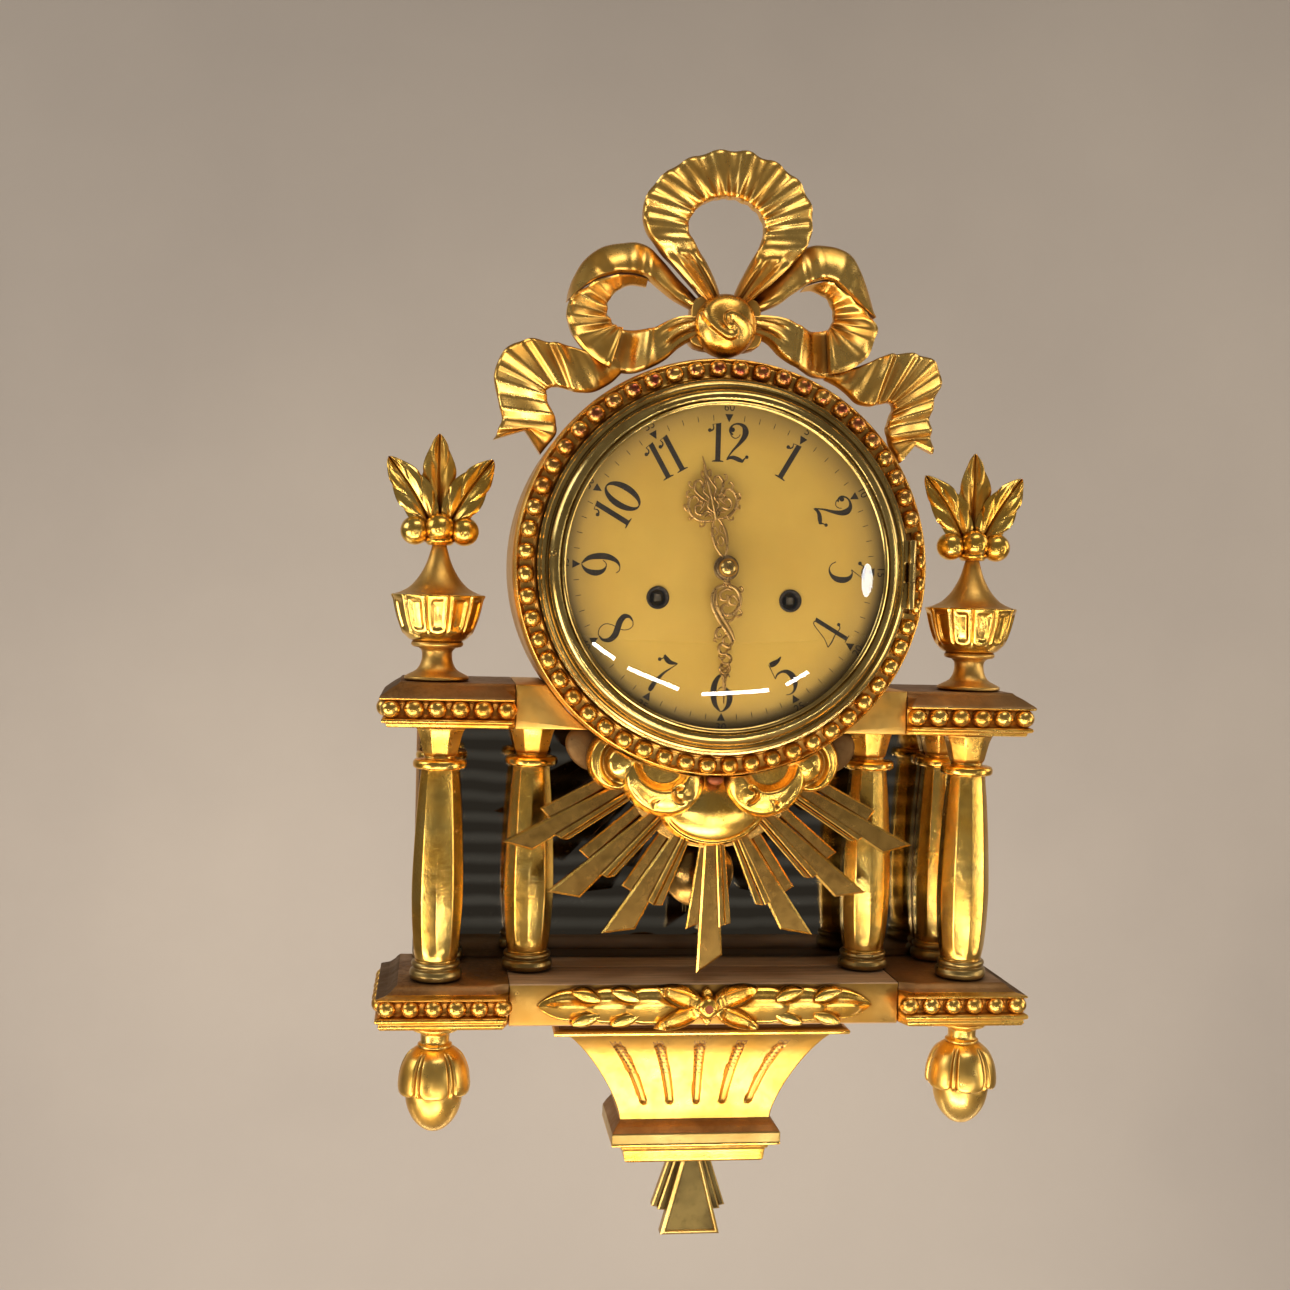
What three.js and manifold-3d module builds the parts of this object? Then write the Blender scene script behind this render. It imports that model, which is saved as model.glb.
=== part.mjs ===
// Giltwood pendulum wall clock: drum case with hinged bezel, ribbon bow, two
// beaded shelves joined by columns, mirrored backboard, sunburst, console.
// Millimetres, +Z up, the front faces -Y, the wall plane is y = 0, +X is the
// viewer's right. The origin is where the wall hook bears, on the wall plane.
// Inside the root group z = 0 is the dial axis, and q is the distance in front
// of the mirror face: y = -(q + MIRROR_Y).
import * as THREE from 'three';
import { mergeVertices } from 'three/addons/utils/BufferGeometryUtils.js';
import Module from 'manifold-3d';

// ---------------------------------------------------------------- dimensions
const AXIS_DROP = 80;        // dial axis below the hook
const MIRROR_Y = 11;         // mirror face in front of the wall
const SEG = 36;              // sides of the large turned pieces
const GAP = 0.3;             // clearance between neighbouring pieces

const DRUM_R = 117, DRUM_IN = 109, DRUM_FRONT = 80;
const BEAD_R = 110, BEAD_TUBE = 5.5;
const BEZEL_R = 102.5, GLASS_R = 93.5, GLASS_APEX = 107;
const DIAL_R = 98, DIAL_Q = 88;
const WIND_X = 37.1, WIND_Z = -17.3, WIND_HOLE_R = 5.6;
const HINGE_X = 105.1, HINGE_Q = 93;

const SHELF_U_TOP = -68, SHELF_U_BOT = -93, SHELF_L_TOP = -237, SHELF_L_BOT = -261.2;
const BEAM_Q = 66;           // front of the plain shelf beams
const BACK_Q = -2.7;         // rear of what stands on the backboard
const WALL_Q = -10.7;        // rear of what reaches the wall
const BACK_X = 168;          // half width of the backboard between the shelves
const BLOCK_IN = 113, BLOCK_OUT = 188.6;

const COL_A = [154, 52.5], COL_B = [101, 28.5], COL_C = [153, 5];
const URN = [157, 42], ACORN = [153.5, 61];

const PEND_PIVOT_Z = 71, PEND_Q = 26, BOB_Z = -180, BOB_R = 21;
const PLATE_B = [36, 38], PLATE_F = [68, 70];
const THIRD = [10, 28], ESCAPE = [0, 49.1], MINUTE_POST = [0, -20.3], HAMMER = [-46, 30];
const HOUR_DEG = 346.3, MINUTE_DEG = 180;

// ------------------------------------------------------------------- helpers
const wasm = await Module();
wasm.setup();

const material = (color, roughness, metalness, extra = {}) =>
  new THREE.MeshStandardMaterial({ color, roughness, metalness, ...extra });
const M = {
  gilt: () => material(0xc9962f, 0.32, 0.85),
  giltDark: () => material(0x9a6a3a, 0.6, 0.3),
  wood: () => material(0x7a5230, 0.7, 0.0),
  brass: () => material(0xc9a24a, 0.25, 1.0),
  steel: () => material(0x77787a, 0.35, 1.0),
  dial: () => material(0xd9b968, 0.45, 0.35),
  glass: () => material(0xf2f5f5, 0.05, 0.0, { transparent: true, opacity: 0.25 }),
  mirror: () => material(0x5a5a5c, 0.05, 1.0),
};

// position-only copy with merged vertices, faces pointing out
function clean(geometry) {
  let g = geometry.clone();
  for (const n of Object.keys(g.attributes)) if (n !== 'position') g.deleteAttribute(n);
  g = mergeVertices(g, 1e-4);
  const p = g.attributes.position, idx = g.index.array, out = [];
  const a = new THREE.Vector3(), b = new THREE.Vector3(), c = new THREE.Vector3();
  let vol = 0;
  for (let i = 0; i < idx.length; i += 3) {
    const [i0, i1, i2] = [idx[i], idx[i + 1], idx[i + 2]];
    if (i0 === i1 || i1 === i2 || i0 === i2) continue;
    a.fromBufferAttribute(p, i0); b.fromBufferAttribute(p, i1); c.fromBufferAttribute(p, i2);
    vol += a.dot(b.clone().cross(c));
    out.push(i0, i1, i2);
  }
  if (vol < 0) for (let i = 0; i < out.length; i += 3) [out[i], out[i + 1]] = [out[i + 1], out[i]];
  g.setIndex(out);
  return g;
}
function toSolid(geometry) {
  const g = clean(geometry);
  return new wasm.Manifold(new wasm.Mesh({
    numProp: 3,
    vertProperties: new Float32Array(g.attributes.position.array),
    triVerts: new Uint32Array(g.index.array),
  }));
}
function toGeometry(solid) {
  const m = solid.getMesh();
  const g = new THREE.BufferGeometry();
  g.setAttribute('position', new THREE.BufferAttribute(new Float32Array(m.vertProperties), 3));
  g.setIndex(Array.from(m.triVerts));
  return g;
}
const join = (...gs) => toGeometry(gs.map(toSolid).reduce((a, b) => a.add(b)));
const cut = (g, ...tools) => toGeometry(tools.map(toSolid).reduce((a, b) => a.subtract(b), toSolid(g)));
const common = (g, h) => toGeometry(toSolid(g).intersect(toSolid(h)));

const shapeOf = (pts) => new THREE.Shape(pts.map(([x, y]) => new THREE.Vector2(x, y)));
function circleHole(shape, x, y, r, n = 16) {
  const pts = [];
  for (let i = 0; i < n; i++) pts.push(new THREE.Vector2(x + r * Math.cos((2 * Math.PI * i) / n), y + r * Math.sin((2 * Math.PI * i) / n)));
  shape.holes.push(new THREE.Path(pts));
  return shape;
}
// a plate: outline in x, z; between the depths q0 and q1
function plate(shape, q0, q1) {
  const g = new THREE.ExtrudeGeometry(Array.isArray(shape) ? shapeOf(shape) : shape, { depth: q1 - q0, bevelEnabled: false, curveSegments: 10 });
  g.rotateX(Math.PI / 2);
  g.translate(0, -(q0 + MIRROR_Y), 0);
  return g;
}
// a bar: outline in q, z; between x0 and x1
function bar(pts, x0, x1) {
  const g = new THREE.ExtrudeGeometry(shapeOf(pts.map(([q, z]) => [-(q + MIRROR_Y), z])), { depth: x1 - x0, bevelEnabled: false });
  g.rotateX(Math.PI / 2);
  g.rotateZ(Math.PI / 2);
  g.translate(x0, 0, 0);
  return g;
}
const box = (x0, x1, q0, q1, z0, z1) => {
  const g = new THREE.BoxGeometry(x1 - x0, q1 - q0, z1 - z0);
  g.translate((x0 + x1) / 2, -((q0 + q1) / 2 + MIRROR_Y), (z0 + z1) / 2);
  return g;
};
// turned about a vertical axis at x, q; points are r, z
function turnedZ(pts, x, q, n = 16) {
  const g = new THREE.LatheGeometry(pts.map(([r, z]) => new THREE.Vector2(r, z)), n);
  g.rotateX(Math.PI / 2);
  g.translate(x, -(q + MIRROR_Y), 0);
  return g;
}
// turned about the depth axis at x, z; points are r, q
function turnedQ(pts, x = 0, z = 0, n = SEG) {
  const g = new THREE.LatheGeometry(pts.map(([r, q]) => new THREE.Vector2(r, q)), n);
  g.rotateX(Math.PI);
  g.translate(x, -MIRROR_Y, z);
  return g;
}
const rod = (x, z, r, q0, q1, n = 12) => turnedQ([[0, q0], [r, q0], [r, q1], [0, q1]], x, z, n);
const ring = (pts, x, z, n) => turnedQ([...pts, pts[0]], x, z, n);
const mirrorX = (pts) => pts.map(([x, z]) => [-x, z]);

function gear(teeth, rTip, rRoot, bore, q0, q1, x, z) {
  const pts = [];
  for (let i = 0; i < teeth; i++) {
    const a = (2 * Math.PI * i) / teeth, b = (2 * Math.PI * (i + 0.5)) / teeth;
    pts.push([rTip * Math.cos(a), rTip * Math.sin(a)], [rRoot * Math.cos(b), rRoot * Math.sin(b)]);
  }
  const s = shapeOf(pts);
  if (bore > 0) circleHole(s, 0, 0, bore, 12);
  const g = plate(s, q0, q1);
  g.translate(x, 0, z);
  return g;
}

const root = new THREE.Group();
root.position.z = -AXIS_DROP;
function node(name, geometry, mat) {
  const mesh = new THREE.Mesh(clean(geometry), mat);
  mesh.name = name;
  root.add(mesh);
  return mesh;
}

// ------------------------------------------------------------ back and mirror
{
  const zTop = SHELF_U_BOT - GAP, xTop = Math.sqrt(116 * 116 - zTop * zTop);
  const pts = [[-BACK_X, SHELF_L_TOP + GAP], [BACK_X, SHELF_L_TOP + GAP], [BACK_X, zTop], [xTop, zTop]];
  const a0 = Math.atan2(zTop, xTop);
  for (let i = 1; i < 24; i++) {
    const a = a0 + ((Math.PI - 2 * a0) * i) / 24;
    pts.push([116 * Math.cos(a), 116 * Math.sin(a)]);
  }
  pts.push([-xTop, zTop], [-BACK_X, zTop]);
  const s = shapeOf(pts);
  s.holes.push(new THREE.Path([[-12, 68], [-12, 94], [12, 94], [12, 68]].map(([x, z]) => new THREE.Vector2(x, z))));
  node('backboard', plate(s, -MIRROR_Y, -3), M.wood());

  const k = shapeOf([[-24, 62], [24, 62], [24, 100], [-24, 100]]);
  const hole = [];
  for (let i = 0; i <= 10; i++) { const a = Math.PI * (1.15 + (0.7 * i) / 10) - 0; hole.push([5 * Math.cos(a), 74 + 5 * Math.sin(a)]); }
  for (let i = 0; i <= 6; i++) { const a = (Math.PI * i) / 6; hole.push([2.2 * Math.cos(a), 80 - 2.2 + 2.2 * Math.sin(a)]); }
  k.holes.push(new THREE.Path(hole.map(([x, z]) => new THREE.Vector2(x, z))));
  node('hanger_plate', plate(k, -2.7, -1.2), M.steel());
  node('mirror_glass', cut(box(-BACK_X + 2, BACK_X - 2, -2.7, 0.3, SHELF_L_TOP + 0.6, SHELF_U_BOT - 1.3), rod(0, 0, DRUM_R + GAP, -5, 5, SEG)), M.mirror());
}

// ----------------------------------------------------------------- drum case
{
  const drum = ring([[DRUM_IN, BACK_Q], [DRUM_R, BACK_Q], [DRUM_R, 77], [115.5, DRUM_FRONT], [103.6, DRUM_FRONT], [103.6, 88],
    [98.5, 88], [98.5, 86.2], [94, 86.2], [94, 78], [DRUM_IN, 78]], 0, 0, SEG);
  node('drum_case', cut(drum, box(-25, 25, 13, 41, -122, -100)), M.gilt());
  const t = BEAD_TUBE, r = BEAD_R, q = DRUM_FRONT + GAP;
  const beads = ring([[r - t, q], [r + t, q], [r + t, q + 5], [r + t * 0.6, q + 9], [r, q + 9.7], [r - t * 0.6, q + 9], [r - t, q + 5]], 0, 0, SEG);
  node('bead_ring', cut(beads, box(100.5, 109.2, 79, 92, -23, 21)), M.gilt());
}

// --------------------------------------------------------------- two shelves
function drumArc(side) {
  const r = DRUM_R + GAP, pts = [];
  for (let i = 0; i <= 5; i++) {
    const z = SHELF_U_BOT + ((SHELF_U_TOP - SHELF_U_BOT) * i) / 5;
    pts.push([side * Math.sqrt(r * r - z * z), z]);
  }
  return pts;
}
for (const [side, tag] of [[-1, 'left'], [1, 'right']]) {
  const arc = drumArc(side);
  node('upper_shelf_' + tag, plate([...arc, [side * (BLOCK_IN - GAP), SHELF_U_TOP], [side * (BLOCK_IN - GAP), SHELF_U_BOT]], WALL_Q, BEAM_Q), M.gilt());
  // moulded end blocks: the front profile meets the side profile in mitred corners
  const blockOf = (prof, lip, zTop, zBot) => {
    const front = bar([[WALL_Q, zTop], ...prof, [WALL_Q, zBot]], Math.min(side * BLOCK_IN, side * (BLOCK_OUT + 1)), Math.max(side * BLOCK_IN, side * (BLOCK_OUT + 1)));
    const outer = prof.map(([q, z]) => [side * (BLOCK_OUT - (lip - q)), z]);
    const inner = prof.map(([q, z]) => [side * (BLOCK_IN + Math.max(0, (lip - q) * 0.8)), z]).reverse();
    return common(front, plate([...outer, ...inner], WALL_Q - 1, lip + 2));
  };
  node('cornice_block_' + tag, blockOf([[63, SHELF_U_TOP], [64, -70], [73.5, -75.8], [73.5, -77], [70, -77.6], [73.2, -80], [74.4, -82.3], [73.2, -85], [70, -87.6],
    [72.5, -88.2], [72.5, -90.2], [70, -SHELF_U_BOT * -1 + 0.2]], 74.4, SHELF_U_TOP, SHELF_U_BOT + 0.2), M.gilt());
  node('base_block_' + tag, blockOf([[68, SHELF_L_TOP], [69.5, -238.2], [79, -242.4], [79, -243.5], [76.5, -244], [79.4, -245.6], [81, -247.8], [79.4, -250.6], [76.5, -253.2],
    [79.5, -253.8], [79.5, -256], [77, -258], [77, -260]], 81, SHELF_L_TOP, -260), M.gilt());
}
node('lower_shelf', box(-BLOCK_IN + GAP, BLOCK_IN - GAP, WALL_Q, BEAM_Q, SHELF_L_BOT, SHELF_L_TOP), M.gilt());
{
  const pts = [];
  for (let i = 0; i < 20; i++) {
    const a = (2 * Math.PI * i) / 20;
    pts.push([97 * Math.sign(Math.cos(a)) * Math.pow(Math.abs(Math.cos(a)), 0.8), -249.6 + 9.5 * Math.sign(Math.sin(a)) * Math.pow(Math.abs(Math.sin(a)), 0.6)]);
  }
  node('laurel_garland', plate(pts, BEAM_Q + GAP, 72.5), M.gilt());
}

// ------------------------------------------------------------------- columns
const COLUMN = [[0, -236.7], [14.2, -236.7], [14.6, -233.5], [13.2, -231], [13.4, -227.5], [13.4, -215], [14.8, -182], [13.6, -146],
  [10.6, -116.5], [14.8, -115.6], [15.2, -111.4], [9.6, -109.8], [10.4, -104], [13.7, -95.6], [13.9, -93.3], [0, -93.3]];
for (const [side, tag] of [[-1, 'left'], [1, 'right']]) {
  node('column_front_' + tag, turnedZ(COLUMN, side * COL_A[0], COL_A[1], 12), M.gilt());
  node('column_inner_' + tag, turnedZ(COLUMN, side * COL_B[0], COL_B[1], 12), M.gilt());
  const c = turnedZ(COLUMN, side * COL_C[0], COL_C[1], 12);
  node('column_rear_' + tag, cut(c, box(side * COL_C[0] - 20, side * COL_C[0] + 20, -20, 0.6, -240, -90)), M.gilt());
}

// ---------------------------------------------------------- urns and sprays
const URN_PROFILE = [[0, -67.7], [18.2, -67.7], [18.2, -65.3], [14, -62], [9.2, -58.5], [8.7, -52.5], [11, -48], [18.5, -41.5], [23, -34], [25.2, -26], [26.4, -19.2],
  [23.6, -17.6], [16.8, -16], [11, -9.5], [7, -2], [4.4, 5], [3.2, 10.4], [0, 10.4]];
function leaf(x0, z0, x1, z1, w, q0, q1) {
  const d = new THREE.Vector2(x1 - x0, z1 - z0), n = new THREE.Vector2(-d.y, d.x).normalize().multiplyScalar(w / 2);
  const at = (t, s) => [x0 + d.x * t + n.x * s, z0 + d.y * t + n.y * s];
  return plate([at(0, -0.3), at(0.2, -0.75), at(0.45, -1), at(0.72, -0.75), at(1, 0), at(0.72, 0.75), at(0.45, 1), at(0.2, 0.75), at(0, 0.3)], q0, q1);
}
const ball = (x, q, z, r, rq = r, rz = r, n = 10, m = 6) => {
  const g = new THREE.SphereGeometry(1, n, m);
  g.scale(r, rq, rz);
  g.translate(x, -(q + MIRROR_Y), z);
  return g;
};
for (const [side, tag] of [[-1, 'left'], [1, 'right']]) {
  const x = side * URN[0], q = URN[1];
  node('urn_' + tag, turnedZ(URN_PROFILE, x, q, 14), M.gilt());
  node('leaf_spray_' + tag, join(
    ball(x, q + 2, 19.4, 7.5), ball(x - 13.4, q, 17.6, 7.5), ball(x + 13.4, q, 17.6, 7.5),
    leaf(x, 20, x + side * 1.5, 73.2, 19.5, q - 2, q + 2.5),
    leaf(x - 4, 19, x - 30, 58.5, 17.5, q - 1.5, q + 2), leaf(x + 4, 19, x + 30, 58.5, 17.5, q - 1.5, q + 2)), M.gilt());
}

// ------------------------------------------------------- ribbon bow and tails
{
  const half = [[0, 234], [15.5, 232.4], [28, 226], [40.5, 216.5], [46.4, 204], [46.6, 192], [43.5, 182], [53.7, 182.8], [65.6, 181.4], [75, 175.8], [81, 166.5],
    [85, 152.5], [86.6, 140], [84, 128], [76, 118.5], [64, 113.3], [51, 115], [44.3, 116.3], [30.6, 122], [18, 124], [12, 120.4], [0, 119]];
  const s = shapeOf([...half, ...mirrorX(half).reverse().slice(1, -1)]);
  const topHole = [[0, 208.3], [13.6, 205], [20, 198], [21, 187.3], [14, 174], [5, 158.5], [0, 156.5]];
  const sideHole = [[24, 143], [35, 151], [44, 158], [52.1, 158.4], [59.6, 155], [63.6, 148], [62.8, 140.6], [58, 135.4], [49.5, 134.6], [41, 136], [34, 140]];
  const holes = [[...topHole, ...mirrorX(topHole).reverse().slice(1, -1)], sideHole, mirrorX(sideHole)].map((h) => plate(h, 50, 80));
  node('ribbon_bow', cut(plate(s, 56, 72), ...holes), M.gilt());
  node('bow_rosette', turnedQ([[0, 72.3], [13.5, 72.3], [16.3, 74.5], [15.8, 78], [11, 82.2], [5, 84], [0, 84.4]], 0, 137, 16), M.gilt());
  const tail = [[66.8, 112.9], [77.8, 117.2], [87.2, 121.9], [97.5, 123.6], [108.7, 124.5], [116.4, 122], [121.7, 116], [125, 108.7], [123.6, 98.7], [121, 89.4], [120.4, 81],
    [123.9, 68.8], [111.3, 72.9], [107.4, 69.7], [101.5, 62.2], [95.5, 71.5], [94.7, 78], [95.5, 86], [97.2, 94.8], [92.5, 98.3], [84.7, 95.8], [76.3, 95.3], [69.4, 99.8], [64.5, 105.2]];
  node('ribbon_tail_left', plate(mirrorX(tail), 55, 70), M.gilt());
  node('ribbon_tail_right', plate(tail, 55, 70), M.gilt());
}

// ------------------------------------------------------- clouds and sunburst
{
  const lobes = [ball(0, 66, -132, 33, 14, 27.5, 16, 8)];
  for (const s of [-1, 1]) lobes.push(ball(s * 30, 66, -123, 22, 13, 21), ball(s * 56, 66, -110, 20, 12, 20));
  const drumTool = turnedQ([[0, 50], [DRUM_R + GAP, 50], [DRUM_R + GAP, 90], [0, 90]], 0, 0, SEG);
  node('cloud_carving', cut(join(...lobes), drumTool, box(-90, 90, 40, 66.3, -170, -60)), M.gilt());

  const blade = (x0, z0, w0, a, b) => {
    const mid = [(a[0] + b[0]) / 2, (a[1] + b[1]) / 2], d = new THREE.Vector2(mid[0] - x0, mid[1] - z0).normalize();
    const n = [-d.y * w0, d.x * w0];
    const s = Math.sign(n[0] * (a[0] - mid[0]) + n[1] * (a[1] - mid[1])) || 1;
    return plate([[x0 + n[0] * s, z0 + n[1] * s], a, b, [x0 - n[0] * s, z0 - n[1] * s]], 61, 66);
  };
  const hub = [];
  for (let i = 0; i <= 12; i++) { const a = (-122 + (64 * i) / 12) * (Math.PI / 180); hub.push([118.2 * Math.cos(a), 118.2 * Math.sin(a)]); }
  const rays = [plate([...hub, [58, -122], [36, -140], [20, -150], [0, -155], [-20, -150], [-36, -140], [-58, -122]], 61, 66)];
  for (const s of [-1, 1]) {
    rays.push(blade(s * 48, -122, 2.6, [s * 118.2, -157.2], [s * 101.2, -161.8]), blade(s * 50, -119, 2.4, [s * 97, -138], [s * 92, -143.5]), blade(s * 47, -125, 2.4, [s * 88, -152.5], [s * 82, -156]));
    rays.push(blade(s * 30, -136, 2.6, [s * 91.8, -185.4], [s * 73.8, -187.8]), blade(s * 32, -133, 2.4, [s * 74.5, -161.5], [s * 69, -166]), blade(s * 28, -138, 2.4, [s * 62, -174.5], [s * 56, -177.5]));
    rays.push(blade(s * 17, -148, 2.6, [s * 61, -209.1], [s * 41.7, -206.3]), blade(s * 20, -146, 2.4, [s * 50, -182], [s * 44, -185.5]), blade(s * 14, -149, 2.4, [s * 35, -190.5], [s * 29, -193.5]));
    rays.push(blade(s * 3, -150, 2.4, [s * 12.2, -203], [s * 6, -205]));
  }
  rays.push(blade(0, -150, 2.8, [-6.2, -231.5], [8.6, -221]));
  node('sunburst_rays', join(...rays), M.gilt());
}

// --------------------------------------------------- drops, console and tail
const ACORN_PROFILE = [[0, -321], [5, -320], [11, -315], [14.6, -307], [15.5, -300], [19, -297.5], [20, -291], [19.2, -284], [16, -278.5], [9, -274.5], [7.6, -269.5],
  [12.6, -266], [12.6, -260.3], [0, -260.3]];
node('acorn_left', turnedZ(ACORN_PROFILE, -ACORN[0], ACORN[1], 14), M.gilt());
node('acorn_right', turnedZ(ACORN_PROFILE, ACORN[0], ACORN[1], 14), M.gilt());
node('console_board', box(-86.5, 86.5, -MIRROR_Y, 61, -269, SHELF_L_BOT - GAP), M.gilt());
// the front profile (q, z) meets the side profile (x, z)
function moulded(frontProfile, sideProfile, depth) {
  const z0 = frontProfile[0][1], z1 = frontProfile.at(-1)[1];
  const f = bar([[-MIRROR_Y, z0], ...frontProfile, [-MIRROR_Y, z1]], -100, 100);
  return common(f, plate([...sideProfile, ...mirrorX(sideProfile).reverse()], -MIRROR_Y - 1, depth));
}
node('console_bracket', moulded([[54, -269.3], [50.5, -274], [47, -282], [44, -293], [41.3, -306], [39.3, -318], [38.8, -324]],
  [[78.5, -269.3], [73.5, -274], [66.5, -282], [58.5, -293], [51, -306], [46, -318], [44.8, -324]], 60), M.gilt());
node('console_plinth', moulded([[39.5, -324.3], [41, -327], [45.8, -330], [46, -335.6], [39.5, -337], [38.3, -349.9]],
  [[45.2, -324.3], [46.2, -327], [49.3, -330], [49.5, -335.6], [41.2, -337], [39.9, -349.9]], 60), M.gilt());
node('tail_rays', join(plate([[-4.6, -350.2], [4.6, -350.2], [17.7, -396.9], [-17.7, -396.9]], 22, 30.5),
  plate([[-7.5, -350.2], [7.5, -350.2], [20.5, -383], [19.6, -387], [-19.6, -387], [-20.5, -383]], 17, 24)), M.gilt());

// --------------------------------------------------------- dial and movement
{
  const s = new THREE.Shape();
  const pts = [];
  for (let i = 0; i < SEG; i++) { const a = (2 * Math.PI * i) / SEG; pts.push([DIAL_R * Math.sin(a), DIAL_R * Math.cos(a)]); }
  s.setFromPoints(pts.map(([x, y]) => new THREE.Vector2(x, y)));
  circleHole(s, 0, 0, 4.6, 16);
  circleHole(s, WIND_X, WIND_Z, WIND_HOLE_R, 20);
  circleHole(s, -WIND_X, WIND_Z, WIND_HOLE_R, 20);
  node('dial_plate', plate(s, DIAL_Q - 1.5, DIAL_Q), M.dial());
}
{
  const outline = [[-52, -56], [-46, -62], [46, -62], [52, -56], [52, 76], [44, 84], [-44, 84], [-52, 76]];
  const f = shapeOf(outline), b = shapeOf(outline);
  circleHole(f, 0, 0, 3.2); circleHole(b, 0, 0, 2.1, 12);
  for (const s of [f, b]) {
    for (const x of [-WIND_X, WIND_X]) circleHole(s, x, WIND_Z, 2.9);
    circleHole(s, ...THIRD, 1.3, 10); circleHole(s, ...ESCAPE, 1.3, 10); circleHole(s, 0, PEND_PIVOT_Z, 1.5, 10); circleHole(s, ...HAMMER, 1.5, 10);
  }
  const feet = [[-44, -54], [44, -54], [-40, 74], [40, 74]];
  node('movement_front_plate', join(plate(f, ...PLATE_F), rod(...MINUTE_POST, 1.3, 69.5, 80, 10)), M.brass());
  node('movement_back_plate', join(plate(b, ...PLATE_B), ...feet.map(([x, z]) => rod(x, z, 3, 37.5, 67.7, 10)),
    box(-6, 6, 20, 36.5, 77, 83)), M.brass());
  // the coiled wire gong on its block
  const path = new THREE.CatmullRomCurve3(Array.from({ length: 25 }, (_, i) => {
    const a = ((-112 + (300 * i) / 24) * Math.PI) / 180;
    return new THREE.Vector3(70 * Math.cos(a), -(8 + MIRROR_Y), 70 * Math.sin(a));
  }));
  const dot = new THREE.Shape(); dot.setFromPoints(Array.from({ length: 6 }, (_, i) => new THREE.Vector2(1.8 * Math.cos((i * Math.PI) / 3), 1.8 * Math.sin((i * Math.PI) / 3))));
  const wire = new THREE.ExtrudeGeometry(dot, { steps: 22, extrudePath: path, bevelEnabled: false });
  node('strike_gong', join(wire, box(-33, -20, BACK_Q, 12, -72, -58)), M.steel());
}
// centre arbor with its wheel, pinions and the threaded end that takes the nut
node('centre_arbor', join(rod(0, 0, 1.8, 35, 66), rod(0, 0, 2.6, 65, 97), rod(0, 0, 1.2, 96, 100.4, 10),
  gear(60, 26, 23.6, 0, 40, 42, 0, 0), gear(10, 7.4, 5, 0, 57.5, 62, 0, 0), gear(12, 5, 3.6, 0, 71.5, 74.6, 0, 0)), M.brass());
node('minute_wheel', join(gear(36, 15, 13.3, 1.6, 72, 74, ...MINUTE_POST), gear(10, 4, 2.9, 1.6, 73.5, 79, ...MINUTE_POST)), M.brass());
node('hour_wheel', join(gear(40, 16, 14.3, 2.95, 76, 78, 0, 0), ring([[2.95, 77], [4, 77], [4, 90.6], [3.5, 90.9], [3.5, 94], [2.95, 94]], 0, 0, 12)), M.brass());
node('third_wheel', join(rod(...THIRD, 1, 35, 71.2, 10), gear(8, 3.4, 2.3, 0, 39, 43, ...THIRD), gear(54, 19.9, 18, 0, 46, 48, ...THIRD)), M.brass());
node('escape_wheel', join(rod(...ESCAPE, 1, 35, 71.2, 10), gear(8, 3, 2, 0, 45, 49, ...ESCAPE), gear(30, 13, 10.6, 0, 52, 54, ...ESCAPE)), M.brass());
const barrel = (x, rGear, teeth) => join(ring([[2.95, 43.5], [24, 43.5], [24, 58.8], [2.95, 58.8]], x, WIND_Z, 16), gear(teeth, rGear, rGear - 2.2, 2.95, 58, 61, x, WIND_Z));
node('going_barrel', barrel(WIND_X, 33, 60), M.brass());
node('strike_barrel', barrel(-WIND_X, 30, 54), M.brass());
for (const [x, tag] of [[WIND_X, 'going'], [-WIND_X, 'strike']])
  node('winding_arbor_' + tag, join(rod(x, WIND_Z, 2.6, 35, 75, 12), box(x - 1.9, x + 1.9, 74, 87, WIND_Z - 1.9, WIND_Z + 1.9)), M.steel());
node('anchor_and_crutch', join(rod(0, PEND_PIVOT_Z, 1.1, 29, 71, 10),
  plate([[-3, 74], [3, 74], [12, 69], [18.5, 60], [17.5, 55], [14.5, 56.5], [10, 64], [0, 68], [-10, 64], [-14.5, 56.5], [-17.5, 55], [-18.5, 60], [-12, 69]], 51.5, 54.5),
  box(-1.4, 1.4, 30.5, 32.3, 30, 71), box(-5.2, 5.2, 30.5, 32.3, 28, 31), box(-5.2, -2.6, 22.5, 32, 28, 31), box(2.6, 5.2, 22.5, 32, 28, 31)), M.steel());
node('strike_hammer', join(rod(...HAMMER, 1.1, 29, 71, 10),
  plate([[-48, 31], [-44, 31], [-57.5, -12], [-62.5, -12]], 30, 32.4), rod(-60, -12, 4.5, 5, 31, 12)), M.steel());

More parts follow.
